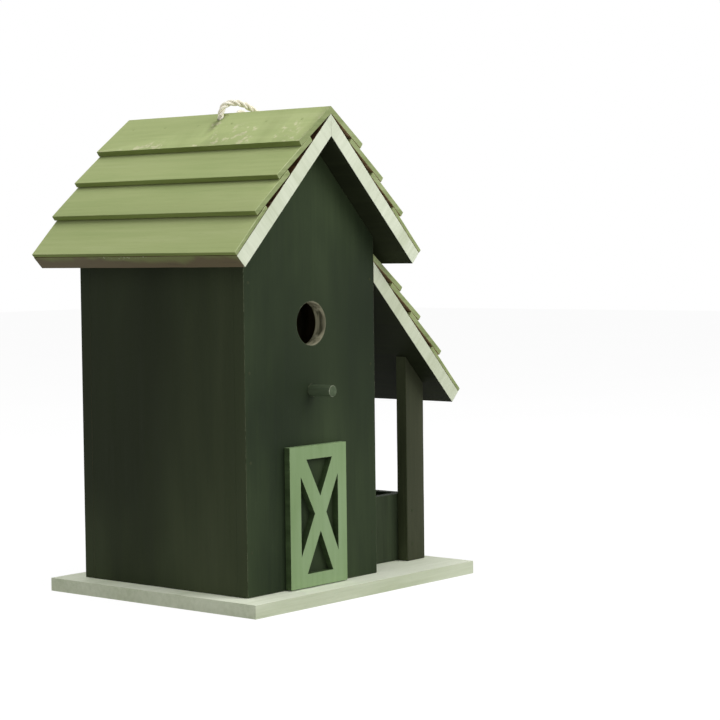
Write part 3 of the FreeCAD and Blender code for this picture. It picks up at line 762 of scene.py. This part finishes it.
def placed_heads(name: str, heads: Iterable[tuple[Vector, Vector]], part: bpy.types.Object,
                 finish: Any) -> bpy.types.Object:
    """Set a copy of one fastener at each head's place, pointing out of its board.

    Args:
        name: the new piece's name.
        heads: the places and directions.
        part: the fastener, with its head's top at the origin and its shank down -Z. It is removed.
        finish: what it is made of.

    Returns:
        One mesh with every fastener in place.
    """
    heads = list(heads)
    mesh = bpy.data.meshes.new(f"{name}_places")
    mesh.from_pydata([tuple(place) for place, _ in heads], [], [])
    way = mesh.attributes.new("way", "FLOAT_VECTOR", "POINT")
    way.data.foreach_set("vector", [value for _, out in heads for value in out])
    tree = GeometryTree(f"{name}_tree", {"Fastener": part, "Material": finish.material()})
    shape = tree.add("GeometryNodeObjectInfo", {0: tree.source.outputs["Fastener"]})
    points = tree.add("GeometryNodeMeshToPoints", {0: tree.source.outputs["Geometry"]})
    out = tree.add("GeometryNodeInputNamedAttribute", {0: "way"}, data_type="FLOAT_VECTOR")
    turn = tree.add("FunctionNodeAlignRotationToVector", {2: out.outputs[0]}, axis="Z")
    copies = tree.add("GeometryNodeInstanceOnPoints", {
        0: points.outputs[0], 2: shape.outputs["Geometry"], 5: turn.outputs[0]})
    tree.finish(copies.outputs[0])
    piece = tree.run(name, mesh)
    bpy.data.objects.remove(part)
    if "way" in piece.data.attributes:
        piece.data.attributes.remove(piece.data.attributes["way"])
    smooth_curved_faces(piece)
    return piece


def turned_shape(name: str, profile: Sequence[tuple[float, float]],
                 sides: int = 24) -> bpy.types.Object:
    """A closed shape turned about Z from a profile that starts and ends on the axis.

    Args:
        name: the object's name.
        profile: (radius, height) points from the top down.
        sides: faces round it.

    Returns:
        The object, at the origin.
    """
    bm = bmesh.new()
    rings = []
    for radius, height in profile:
        if radius <= 0:
            rings.append([bm.verts.new((0.0, 0.0, height))])
            continue
        turns = [2 * math.pi * i / sides for i in range(sides)]
        rings.append([bm.verts.new((radius * math.cos(a), radius * math.sin(a),
                                    height)) for a in turns])
    for upper, lower in zip(rings, rings[1:]):
        for i in range(sides):
            j = (i + 1) % sides
            corners = [upper[i % len(upper)], upper[j % len(upper)], lower[j % len(lower)],
                       lower[i % len(lower)]]
            unique = list(dict.fromkeys(corners))
            bm.faces.new(unique)
    bmesh.ops.recalc_face_normals(bm, faces=bm.faces)
    return link(name, to_mesh(bm, name))


def with_cut(piece: bpy.types.Object, cutters: Sequence[bpy.types.Object]) -> bpy.types.Object:
    """Cut shapes out of a piece, for good. The cutters are removed."""
    for cutter in cutters:
        modifier = piece.modifiers.new("cut", "BOOLEAN")
        modifier.object = cutter
        modifier.operation = "DIFFERENCE"
        modifier.solver = "EXACT"
    bpy.context.view_layer.update()
    evaluated = piece.evaluated_get(bpy.context.evaluated_depsgraph_get())
    mesh = bpy.data.meshes.new_from_object(evaluated)
    piece.modifiers.clear()
    piece.data = mesh
    for cutter in cutters:
        bpy.data.objects.remove(cutter)
    return piece


def bar(name: str, half: Sequence[float], centre: Sequence[float]) -> bpy.types.Object:
    """A plain block, used as a cutter."""
    bm = bmesh.new()
    bmesh.ops.create_cube(bm, size=2.0,
                          matrix=Matrix.Translation(centre) @ Matrix.Diagonal((*half, 1.0)))
    return link(name, to_mesh(bm, name))


# ------------------------------------------------------------------ sub-assemblies
@dataclass
class NestBox:
    """The base board, the four walls and the perch."""

    perch_edge: float = 0.0006
    perch_sides: int = 48

    def build(self) -> list[bpy.types.Object]:
        """Make every piece of the nest box and return them."""
        front, back = (0, -1, 0), (0, 1, 0)
        left, right = (-1, 0, 0), (1, 0, 0)
        pieces = [
            # the base's upward faces get the lighter cream copy, painted light
            Board("base_plate", "house", "cream_paint", CREAM, edge=0.0012, cut_axis=0, faces=(
                ((0, 0, 1), CREAM_TOP_PAINTED_LIGHT),)).build(),
            Board("front_wall", "house", "wall_paint", WALL_FRONT, cut_axis=2, hollow=0.0001,
                  joint=(1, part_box("front_wall")[1].y), faces=(
                (back, BARE_UPRIGHT), (left, WALL_SIDE), (right, WALL_SIDE))).build(),
            Board("back_wall", "house", "wall_paint", WALL_FRONT, cut_axis=2, hollow=0.0001,
                  joint=(1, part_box("back_wall")[0].y), faces=(
                (front, BARE_UPRIGHT), (left, WALL_SIDE), (right, WALL_SIDE))).build(),
            Board("left_wall", "house", "wall_paint", WALL_SIDE, edge=0.0001, faces=(
                (right, BARE_UPRIGHT),)).build(),
            Board("right_wall", "house", "wall_paint", WALL_SIDE, edge=0.0001, faces=(
                (left, BARE_UPRIGHT),)).build(),
        ]
        self.dress_hole(pieces[1])
        return pieces + [self.build_perch()]

    def dress_hole(self, wall: bpy.types.Object) -> None:
        """Leave the inside of the entrance hole nearly bare."""
        low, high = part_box("front_wall")
        wall.data.materials.append(BARE_RIM.material())
        index = len(wall.data.materials) - 1
        centre = Vector(((low.x + high.x) / 2, 0.0, entrance_height()))
        for polygon in wall.data.polygons:
            from_axis = Vector((polygon.center.x - centre.x, 0.0, polygon.center.z - centre.z))
            inside = from_axis.length < 0.0164 and abs(polygon.normal.y) < 0.5
            if inside:
                polygon.material_index = index

    def build_perch(self) -> bpy.types.Object:
        """Turn the perch with a rounded end."""
        low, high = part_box("perch_dowel")
        radius = (high.z - low.z) / 2
        length = high.y - low.y
        edge = self.perch_edge
        profile = [(0.0, length)]
        steps = 4
        for i in range(steps + 1):
            turn = math.pi / 2 * i / steps
            profile.append((radius - edge + edge * math.sin(turn),
                            length - edge + edge * math.cos(turn)))
        profile += [(radius, length * t) for t in (0.75, 0.5, 0.25)]
        profile += [(radius, 0.0), (0.0, 0.0)]
        perch = turned_shape("perch_dowel_rod", profile, self.perch_sides)
        centre = Vector(((low.x + high.x) / 2, high.y, (low.z + high.z) / 2))
        perch.data.transform(Matrix.Translation(centre) @ Matrix.Rotation(math.pi / 2, 4, "X"))
        perch.data.materials.append(PERCH_GREEN.material())
        perch.data.materials.append(PERCH_RIM.material())
        for polygon in perch.data.polygons:
            polygon.material_index = int(0.3 < abs(polygon.normal.y) < 0.98)
        smooth_curved_faces(perch)
        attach(perch, "house")
        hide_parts("perch_dowel")
        return perch


def entrance_height() -> float:
    """The height of the entrance hole's centre, from its mount."""
    for mount in frame["record"]["mounts"]:
        if mount["name"] == "entrance_hole":
            return mount["pos_m"][2]
    raise ValueError("the record has no entrance_hole mount")


@dataclass
class Roof:
    """One roof slope: a panel with a cream front edge, under overlapping shingles."""

    panel: str
    shingles: Sequence[str]
    side: int
    cream: Paint
    edge: float = 0.0005

    def build(self) -> list[bpy.types.Object]:
        """Make the slope's panel and its shingles and return them."""
        front, back = (0, -1, 0), (0, 1, 0)
        out = (self.side * math.sin(SLOPE), 0, math.cos(SLOPE))
        down = (self.side * math.cos(SLOPE), 0, -math.sin(SLOPE))
        under = tuple(-value for value in out)
        front_edge = (out[0], -1, out[2])
        low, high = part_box(self.panel)
        joint = (0, low.x if self.side > 0 else high.x)
        eave = EavePaint(f"{self.panel}_eave", srgb(108, 114, 66), srgb(92, 82, 56),
                         srgb(216, 218, 186),
                         low.z, low.z + 0.011)
        # the panel's top is raw wood with painted shade for the gaps under the shingles
        pieces = [Board(self.panel, "house", "roof_edge_paint", BARE_TOP_PAINTED_SHADE, edge=self.edge, cut_axis=1,
                        joint=joint, faces=((front, self.cream), (back, self.cream),
                                            # the underside: dark green paint with painted shade
                                            (under, SOFFIT_GREEN_PAINTED_SHADE),
                               (down, eave))).build()]
        for number, shingle in enumerate(self.shingles):
            hollow = 0.00006 if number == 0 else 0.00025
            # the bevel over each shingle's front end gets worn paint with a painted highlight
            pieces.append(Board(shingle, "house", "sage_paint", SAGE, edge=self.edge, cut_axis=1,
                                joint=joint, hollow=hollow, facing=0.75, faces=(
                                    (front, SAGE_END), (back, SAGE_END), (under, BARE_LONG),
                                    # the downward butt faces carry painted shade
                                    (down, SAGE_BUTT_PAINTED_SHADE), (front_edge, SAGE_EDGE_WEAR_AND_HIGHLIGHT))).build())
        return pieces


@dataclass
class Porch:
    """The lean-to's posts and the trough under it."""

    posts: Sequence[str] = ("porch_post_front", "porch_post_rear")
    ends: Sequence[str] = ("trough_front_panel", "trough_rear_panel")

    def build(self) -> list[bpy.types.Object]:
        """Make the posts and the trough's panels and return them."""
        # the posts' left faces get the lighter green, painted light
        pieces = [Board(node, "house", "wall_paint", POST_GREEN, cut_axis=2, faces=(
            ((-1, 0, 0), POST_SIDE_PAINTED_LIGHT),)).build() for node in self.posts]
        pieces += [Board(node, "house", "wall_paint", TROUGH_GREEN,
                         cut_axis=0).build() for node in self.ends]
        pieces.append(Board("trough_side_panel", "house", "wall_paint", TROUGH_GREEN,
                            cut_axis=1).build())
        return pieces


@dataclass
class BarnDoorTrim:
    """The flat braced frame on the front wall: green on its face, dark on its cut edges."""

    edge: float = 0.0004

    def build(self) -> bpy.types.Object:
        """Make the trim and return it."""
        piece = Board("barn_door_trim", "house", "trim_paint", TRIM_CUT, edge=self.edge, faces=(
            ((0, -1, 0), TRIM_GREEN),), facing=0.97).build()
        low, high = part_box("barn_door_trim")
        index = piece.data.materials.find(TRIM_GREEN.name)
        for polygon in piece.data.polygons:
            if polygon.center.z > high.z - self.edge * 1.5 and polygon.normal.z > 0.5:
                polygon.material_index = index
        return piece


@dataclass
class CleanoutDoor:
    """The rear door with its knob, hinges and turn button."""

    leaf_edge: float = 0.00015

    def build(self) -> list[bpy.types.Object]:
        """Make every piece at the rear door and return them."""
        inside = ((0, -1, 0), BARE_UPRIGHT)
        pieces = [
            Board("cleanout_door", "door", "wall_paint", WALL_FRONT, cut_axis=2, hollow=0.0001,
                  faces=(inside,)).build(),
            Board("turn_button", "button", "trim_paint", TRIM_GREEN, edge=0.0006).build(),
            self.build_knob(),
        ]
        smooth_curved_faces(pieces[1])
        for node, body in (("hinge_wall_leaves", "house"), ("hinge_door_leaves", "door"),
                           ("hinge_pins", "house")):
            finish = PIN_STEEL if node == "hinge_pins" else ZINC
            piece = Board(node, body, "zinc_hardware", finish, edge=self.leaf_edge).build()
            smooth_curved_faces(piece)
            pieces.append(piece)
        return pieces

    def build_knob(self) -> bpy.types.Object:
        """Turn the knob, with its peg, neck and round-edged head."""
        low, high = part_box("door_knob")
        radius = (high.x - low.x) / 2
        length = high.y - low.y
        head, neck, peg = 0.007, 0.0045, 0.003
        profile = [(0.0, length), (radius * 0.45, length - 0.0001), (radius * 0.72, length - 0.0006),
                   (radius * 0.9, length - 0.0016), (radius, length - 0.003), (radius, length - 0.0045),
                   (radius * 0.93, length - 0.006), (radius * 0.8, length - head + 0.0002),
                   (neck * 1.05, length - head), (neck, length - head - 0.0008),
                   (neck, length - head - 0.005),
                   (peg, length - head - 0.005), (peg, 0.0), (0.0, 0.0)]
        knob = turned_shape("door_knob_turned", profile, 40)
        centre = Vector(((low.x + high.x) / 2, low.y, (low.z + high.z) / 2))
        knob.data.transform(Matrix.Translation(centre) @ Matrix.Rotation(-math.pi / 2, 4, "X"))
        knob.data.materials.append(TRIM_GREEN.material())
        smooth_curved_faces(knob)
        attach(knob, "door")
        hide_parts("door_knob")
        return knob


@dataclass
class Fasteners:
    """Nails, hinge screws, the turn button's screw and the base screws."""

    nail_radius: float = 0.0012
    nail_dome: float = 0.00012
    filler: float = 0.0004
    screw_radius: float = 0.002
    screw_head: float = 0.0009

    def build(self) -> list[bpy.types.Object]:
        """Set every fastener and return one piece for each CAD node."""
        pieces = []
        for node, finish in (("wall_brads", WALL_SIDE), ("roof_brads", NAIL_STEEL),
                             ("shingle_brads", NAIL_OVER)):
            pieces.append(self.set_group(node, self.nail(node), finish, "house"))
        for node, body in (("hinge_wall_screws", "house"), ("hinge_door_screws", "door")):
            head = self.crossed_screw(node, self.screw_radius, self.screw_head, 0.0009, 0.008)
            pieces.append(self.set_group(node, head, ZINC, body))
        head = self.crossed_screw("turn_button_screw", 0.0038, 0.0018, 0.002, 0.0142)
        pieces.append(self.set_group("turn_button_screw", head, ZINC, "house"))
        head = self.countersunk_screw("base_screws", 0.0036, 0.0017)
        pieces.append(self.set_group("base_screws", head, ZINC, "house"))
        return pieces

    def nail(self, node: str) -> bpy.types.Object:
        """A painted-over nail: a low domed head just proud of the board, on a short shank."""
        radius, dome = self.nail_radius, self.nail_dome
        profile = [(0.0, dome), (radius * 0.5, dome * 0.85), (radius * 0.85, dome * 0.5),
                   (radius, 0.00003),
                   (radius, -0.0006), (radius * 0.5, -0.0008), (radius * 0.5, -0.010), (0.0, -0.011)]
        return turned_shape(f"{node}_one", profile, 16)

    def crossed_screw(self, node: str, radius: float, head: float, shank: float,
                      length: float) -> bpy.types.Object:
        """A pan-head screw with a cross recess."""
        profile = [(0.0, 0.0), (radius * 0.55, -head * 0.08), (radius * 0.85, -head * 0.3),
                   (radius * 0.98, -head * 0.65), (radius, -head * 0.98), (shank, -head),
                   (shank, -head - length * 0.9), (0.0, -head - length)]
        screw = turned_shape(f"{node}_one", profile, 28)
        arm, thick, deep = radius * 0.55, radius * 0.11, head * 0.55
        cutters = [bar("cross_a", (arm, thick, deep), (0, 0, 0)), bar("cross_b", (thick, arm, deep),
                                                                      (0, 0, 0))]
        return with_cut(screw, cutters)

    def countersunk_screw(self, node: str, radius: float, shank: float) -> bpy.types.Object:
        """A flat-topped countersunk screw with a cross recess."""
        cone, length = 0.0022, 0.024
        profile = [(0.0, 0.0), (radius * 0.97, 0.0), (radius, -0.0002), (shank, -cone),
                   (shank, -length * 0.85), (0.0, -length)]
        screw = turned_shape(f"{node}_one", profile, 28)
        arm, thick = radius * 0.5, radius * 0.1
        cutters = [bar("cross_a", (arm, thick, 0.001), (0, 0, 0)),
                   bar("cross_b", (thick, arm, 0.001), (0, 0, 0))]
        return with_cut(screw, cutters)

    def set_group(self, node: str, part: bpy.types.Object, finish: Any, body: str) -> bpy.types.Object:
        """Set one group of fasteners where its CAD node has them.

        Args:
            node: the CAD node it stands for.
            part: one fastener.
            finish: what it is made of.
            body: the body it moves with.

        Returns:
            The finished piece.
        """
        trim_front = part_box("barn_door_trim")[0].y
        heads = []
        for place, out in fastener_heads(node):
            filled_over = out.y < -0.9 and place.y < trim_front + self.filler
            heads.append((place - out * (self.filler if filled_over else 0.0), out))
        piece = placed_heads(f"{node}_set", heads, part, finish)
        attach(piece, body)
        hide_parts(node)
        return piece


@dataclass
class HangingRope:
    """The three-strand rope: a loop over the right slope, and a knot on each end inside the roof."""

    diameter: float = 0.005
    pitch: float = 0.017
    # (right of the ridge, y, z) in millimetres, from the left hole over the ridge and back to the right hole
    route: Sequence[tuple[float, float, float]] = (
        (-4.5, 1.5, 358.2),
        (-4.35, 1.3, 363.8),
        (-0.5, -2.5, 367.9),
        (6.8, -7.8, 367.8),
        (13.5, -12.0, 364.2),
        (22.5, -17.5, 356.3),
        (33.0, -23.5, 345.2),
        (44.0, -29.0, 332.4),
        (55.0, -31.0, 320.0),
        (66.0, -28.5, 308.5),
        (74.0, -20.0, 300.5),
        (76.5, -7.0, 298.0),
        (72.0, 5.5, 302.5),
        (62.0, 13.0, 313.0),
        (50.5, 14.5, 326.0),
        (40.0, 11.5, 339.5),
        (32.0, 8.0, 351.0),
        (24.5, 5.2, 361.8),
        (18.3, 3.2, 362.0),
        (14.3, 2.1, 358.0),
        (14.0, 2.0, 352.3),
    )

    def build(self) -> list[bpy.types.Object]:
        """Make the rope and its knots and return them."""
        line = self.centreline("rope_line", self.points())
        rope = self.strands("hanging_rope_strands", line)
        knots = self.build_knots()
        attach(rope, "house")
        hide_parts("hanging_rope")
        return [rope, knots]

    def points(self) -> list[Vector]:
        """The route in metres."""
        low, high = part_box("front_wall")
        ridge_x = (low.x + high.x) / 2
        return [Vector((ridge_x + u * MM, y * MM, z * MM)) for u, y, z in self.route]

    def centreline(self, name: str, points: Sequence[Vector]) -> list[Vector]:
        """Points along the smooth curve that has the route as its control points.

        Args:
            name: the helper curve's name.
            points: the route.

        Returns:
            The curve's own points, close together.
        """
        data = bpy.data.curves.new(name, "CURVE")
        data.dimensions = "3D"
        data.resolution_u = 10
        spline = data.splines.new("NURBS")
        spline.points.add(len(points) - 1)
        for target, point in zip(spline.points, points):
            target.co = (*point, 1.0)
        spline.order_u = 3
        spline.use_endpoint_u = True
        helper = bpy.data.objects.new(name, data)
        bpy.context.scene.collection.objects.link(helper)
        bpy.context.view_layer.update()
        mesh = bpy.data.meshes.new_from_object(helper.evaluated_get(bpy.context.evaluated_depsgraph_get()))
        line = [v.co.copy() for v in mesh.vertices]
        bpy.data.objects.remove(helper)
        return line

    def strand_tree(self, name: str) -> GeometryTree:
        """The node group that twists three strands round a line and gives each a stripe attribute."""
        lay = self.diameter / 2 / (1 + math.sqrt(3) / 2)
        tree = GeometryTree(name, {
            "Strand Radius": lay * math.sqrt(3) / 2, "Lay Radius": lay, "Pitch": self.pitch,
            "Spacing": 0.0006, "Material": ROPE.material()})
        source = tree.source.outputs
        line = tree.add("GeometryNodeMeshToCurve", {0: source["Geometry"]}).outputs[0]
        line = tree.add("GeometryNodeResampleCurve", {
            "Curve": line, "Length": source["Spacing"]}, mode="LENGTH").outputs[0]
        line = tree.add("GeometryNodeSetCurveNormal", {0: line}, mode="MINIMUM_TWIST").outputs[0]
        along = tree.add("GeometryNodeSplineParameter").outputs["Length"]
        turns = tree.math("MULTIPLY", tree.math("DIVIDE", along, source["Pitch"]), 2 * math.pi)
        normal = tree.add("GeometryNodeInputNormal").outputs[0]
        tangent = tree.add("GeometryNodeInputTangent").outputs[0]
        side = tree.add("ShaderNodeVectorMath", {0: tangent, 1: normal},
                        operation="CROSS_PRODUCT").outputs[0]
        ring = tree.add("GeometryNodeCurvePrimitiveCircle", {"Resolution": 9,
                                                             "Radius": source["Strand Radius"]})
        around = tree.add("GeometryNodeSplineParameter").outputs["Factor"]
        marked_ring = tree.add("GeometryNodeCaptureAttribute", {0: ring.outputs[0]})
        marked_ring.capture_items.new("FLOAT", "Around")
        tree.group.links.new(around, marked_ring.inputs[1])
        joined = tree.add("GeometryNodeJoinGeometry")
        for number in range(3):
            angle = tree.math("ADD", turns, number * 2 * math.pi / 3)
            across = tree.add("ShaderNodeVectorMath", {0: normal, 3: tree.math("COSINE", angle)},
                              operation="SCALE").outputs[0]
            over = tree.add("ShaderNodeVectorMath", {0: side, 3: tree.math("SINE", angle)},
                            operation="SCALE").outputs[0]
            both = tree.add("ShaderNodeVectorMath", {0: across, 1: over}, operation="ADD").outputs[0]
            offset = tree.add("ShaderNodeVectorMath", {0: both, 3: source["Lay Radius"]},
                              operation="SCALE").outputs[0]
            marked = tree.add("GeometryNodeCaptureAttribute", {0: line})
            marked.capture_items.new("FLOAT", "Along")
            tree.group.links.new(along, marked.inputs[1])
            strand = tree.add("GeometryNodeSetPosition", {0: marked.outputs[0],
                                                          "Offset": offset}).outputs[0]
            tube = tree.add("GeometryNodeCurveToMesh", {0: strand, 1: marked_ring.outputs[0]})
            tube.inputs["Fill Caps"].default_value = True
            lengthwise = tree.math("MULTIPLY", marked.outputs[1], 420.0)
            twisted = tree.math("ADD", tree.math("MULTIPLY", marked_ring.outputs[1], 9.0), lengthwise)
            pair = tree.add("ShaderNodeCombineXYZ", {0: twisted, 1: lengthwise, 2: float(number) * 7})
            stored = tree.add("GeometryNodeStoreNamedAttribute", {0: tube.outputs[0],
                                                                  "Name": ROPE.attribute},
                              data_type="FLOAT_VECTOR", domain="POINT")
            tree.group.links.new(pair.outputs[0], stored.inputs["Value"])
            tree.group.links.new(stored.outputs[0], joined.inputs[0])
        tree.finish(joined.outputs[0])
        return tree

    def strands(self, name: str, line: Sequence[Vector]) -> bpy.types.Object:
        """Lay the three strands along a line.

        Args:
            name: the piece's name.
            line: points that the rope follows.

        Returns:
            The rope's mesh object.
        """
        mesh = bpy.data.meshes.new(f"{name}_path")
        mesh.from_pydata([tuple(p) for p in line], [(i, i + 1) for i in range(len(line) - 1)], [])
        piece = self.strand_tree(f"{name}_tree").run(name, mesh)
        smooth_curved_faces(piece, 60.0)
        return piece

    def build_knots(self) -> bpy.types.Object:
        """Make the rope's two ends: up through the roof from a round knot under each panel."""
        ends = []
        for corners, tip in zip(self.knot_islands(), (0, -1)):
            low, high = Vector(corners.min(0)), Vector(corners.max(0))
            radius = (high.x - low.x) / 2
            centre = Vector(((low.x + high.x) / 2, (low.y + high.y) / 2, low.z + radius))
            ends += self.knot_line(centre, radius, high.z)
        lines = [self.centreline("knot_line", points) for points in ends]
        verts: list[tuple[float, float, float]] = []
        edges: list[tuple[int, int]] = []
        for line in lines:
            start = len(verts)
            verts += [tuple(p) for p in line]
            edges += [(start + i, start + i + 1) for i in range(len(line) - 1)]
        mesh = bpy.data.meshes.new("knots_path")
        mesh.from_pydata(verts, edges, [])
        knots = self.strand_tree("rope_knots_tree").run("rope_knots_tied", mesh)
        smooth_curved_faces(knots, 60.0)
        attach(knots, "house")
        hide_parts("rope_knots")
        return knots

    def knot_islands(self) -> list[np.ndarray]:
        """The CAD solids of the two knots, the left one first."""
        return sorted(islands(frame["nodes"]["rope_knots"].data),
                      key=lambda corners: corners[:, 0].mean())

    def knot_line(self, centre: Vector, radius: float, top: float) -> list[list[Vector]]:
        """The line of one overhand knot inside its round space, and up its hole.

        Args:
            centre: the middle of the round space.
            radius: its radius.
            top: the height where the rope leaves its hole.

        Returns:
            One list of route points.
        """
        reach = radius - self.diameter / 2
        points = []
        count = 15
        for i in range(count):
            turn = 2 * math.pi * (i / (count - 1) * 0.93 + 0.02)
            wide = reach * 0.66 * (math.sin(turn) + 2 * math.sin(2 * turn)) / 3
            deep = reach * 0.66 * (math.cos(turn) - 2 * math.cos(2 * turn)) / 3
            points.append(centre + Vector((wide, deep, -reach * 0.5 * math.sin(3 * turn))))
        rise = [centre + Vector((0, 0, radius * 0.9)), Vector((centre.x, centre.y,
                                                               (centre.z + top) / 2)),
                Vector((centre.x, centre.y, top))]
        return [points + rise]


# ------------------------------------------------------------------ studio
@dataclass
class Studio:
    """The camera, the lamps, the pale floor and the backdrop."""

    camera_place: tuple[float, float, float] = (-1.17658, -1.07458, 0.25603)
    azimuth: float = -50.2802
    elevation: float = 3.0422
    roll: float = -0.677
    lens: float = 103.3116
    sensor: float = 36.0
    key_power: float = 19.0
    fill_power: float = 2.2
    top_power: float = 14.5
    sky: float = 0.36

    def build(self) -> None:
        """Set up everything round the object."""
        self.add_camera()
        self.add_floor()
        self.add_world()
        self.add_lamp("key_lamp", (0.55, -1.5, 1.1), 1.1, self.key_power)
        self.add_lamp("fill_lamp", (-1.6, -0.5, 0.7), 1.4, self.fill_power)
        self.add_lamp("top_lamp", (-0.3, 0.1, 1.9), 1.2, self.top_power)

    def add_camera(self) -> None:
        """Place the camera by its compass direction, height and roll."""
        az, el, roll = (math.radians(value) for value in (self.azimuth, self.elevation, self.roll))
        back = Vector((math.sin(az) * math.cos(el), -math.cos(az) * math.cos(el), math.sin(el)))
        level = Vector((math.cos(az), math.sin(az), 0.0))
        upward = back.cross(level)
        right = math.cos(roll) * level + math.sin(roll) * upward
        up = math.cos(roll) * upward - math.sin(roll) * level
        data = bpy.data.cameras.new("camera")
        data.lens = self.lens
        data.sensor_width = self.sensor
        data.clip_start = 0.05
        data.clip_end = 50.0
        camera = bpy.data.objects.new("camera", data)
        turn = Matrix((right, up, back)).transposed().to_4x4()
        camera.matrix_world = Matrix.Translation(self.camera_place) @ turn
        bpy.context.scene.collection.objects.link(camera)
        bpy.context.scene.camera = camera

    def add_lamp(self, name: str, place: tuple[float, float, float], size: float, power: float) -> None:
        """Add a soft square lamp that points at the middle of the object."""
        data = bpy.data.lights.new(name, "AREA")
        data.size = size
        data.energy = power
        lamp = bpy.data.objects.new(name, data)
        aim = Vector((0.0, 0.0, 0.17)) - Vector(place)
        lamp.rotation_euler = aim.to_track_quat("-Z", "Y").to_euler()
        lamp.location = place
        bpy.context.scene.collection.objects.link(lamp)

    def add_floor(self) -> None:
        """Lay a wide pale floor that shows white to the camera and keeps a soft shadow."""
        bm = bmesh.new()
        bmesh.ops.create_grid(bm, x_segments=1, y_segments=1, size=6.0)
        floor = link("floor", to_mesh(bm, "floor"))
        tree = ShaderTree("floor_white")
        grain = tree.noise(tree.add("ShaderNodeTexCoord").outputs["Object"], 3.0, 2.0)
        colour = tree.ramp(grain, ((0.3, (0.6, 0.6, 0.6)), (0.7, (0.64, 0.64, 0.64))))
        diffuse = tree.add("ShaderNodeBsdfDiffuse", {"Color": colour}).outputs[0]
        ray = tree.add("ShaderNodeLightPath").outputs
        seen = tree.math("MAXIMUM", ray["Is Camera Ray"], tree.math(
            "MAXIMUM", ray["Is Glossy Ray"], ray["Is Transmission Ray"]))
        glow = tree.add("ShaderNodeEmission", {"Color": (1.0, 1.0, 1.0), "Strength": 1.2}).outputs[0]
        share = tree.math("MULTIPLY", seen, 0.76)
        floor.data.materials.append(tree.surface(
            tree.add("ShaderNodeMixShader", {0: share, 1: diffuse, 2: glow}).outputs[0]))

    def add_world(self) -> None:
        """Light everything evenly from all round, and show plain white behind it."""
        world = bpy.data.worlds.new("studio")
        bpy.context.scene.world = world
        world.use_nodes = True
        nodes, links = world.node_tree.nodes, world.node_tree.links
        nodes.clear()
        ray = nodes.new("ShaderNodeLightPath")
        seen = nodes.new("ShaderNodeMath")
        seen.operation = "MAXIMUM"
        also = nodes.new("ShaderNodeMath")
        also.operation = "MAXIMUM"
        links.new(ray.outputs["Is Glossy Ray"], also.inputs[0])
        links.new(ray.outputs["Is Transmission Ray"], also.inputs[1])
        links.new(ray.outputs["Is Camera Ray"], seen.inputs[0])
        links.new(also.outputs[0], seen.inputs[1])
        shown = nodes.new("ShaderNodeBackground")
        shown.inputs["Strength"].default_value = 1.0
        shown.inputs["Color"].default_value = (1.0, 1.0, 1.0, 1.0)
        light = nodes.new("ShaderNodeBackground")
        light.inputs["Strength"].default_value = self.sky
        light.inputs["Color"].default_value = (1.0, 1.0, 1.0, 1.0)
        mix = nodes.new("ShaderNodeMixShader")
        links.new(seen.outputs[0], mix.inputs[0])
        links.new(light.outputs[0], mix.inputs[1])
        links.new(shown.outputs[0], mix.inputs[2])
        links.new(mix.outputs[0], nodes.new("ShaderNodeOutputWorld").inputs[0])


# ------------------------------------------------------------------ everything together
def main() -> None:
    """Build the studio and every sub-assembly, in order, and report each piece."""
    logging.basicConfig(level=logging.INFO, format="%(name)s: %(message)s")
    bpy.context.scene.view_settings.view_transform = "Standard"
    Studio().build()
    sections: list[tuple[str, Any]] = [
        ("rope", HangingRope()),
        ("nest box", NestBox()),
        ("left roof", Roof("roof_panel_left", [f"shingle_left_{i}" for i in range(1, 5)], -1,
                           CREAM_LEFT)),
        ("right roof", Roof("roof_panel_right", [f"shingle_right_{i}" for i in range(1, 5)], 1,
                            CREAM_RIGHT)),
        # the porch roof's cream edge is the darker copy, painted shade
        ("porch roof", Roof("porch_roof_panel", [f"porch_shingle_{i}" for i in range(1, 5)], 1,
                            CREAM_PORCH_PAINTED_SHADE)),
        ("porch", Porch()),
        ("barn-door trim", BarnDoorTrim()),
        ("clean-out door", CleanoutDoor()),
        ("fasteners", Fasteners()),
    ]
    for title, section in sections:
        made = section.build()
        for piece in made if isinstance(made, list) else [made]:
            log.info("%s: %s, %d faces", title, piece.name, len(piece.data.polygons))


if __name__ == "__main__":
    main()
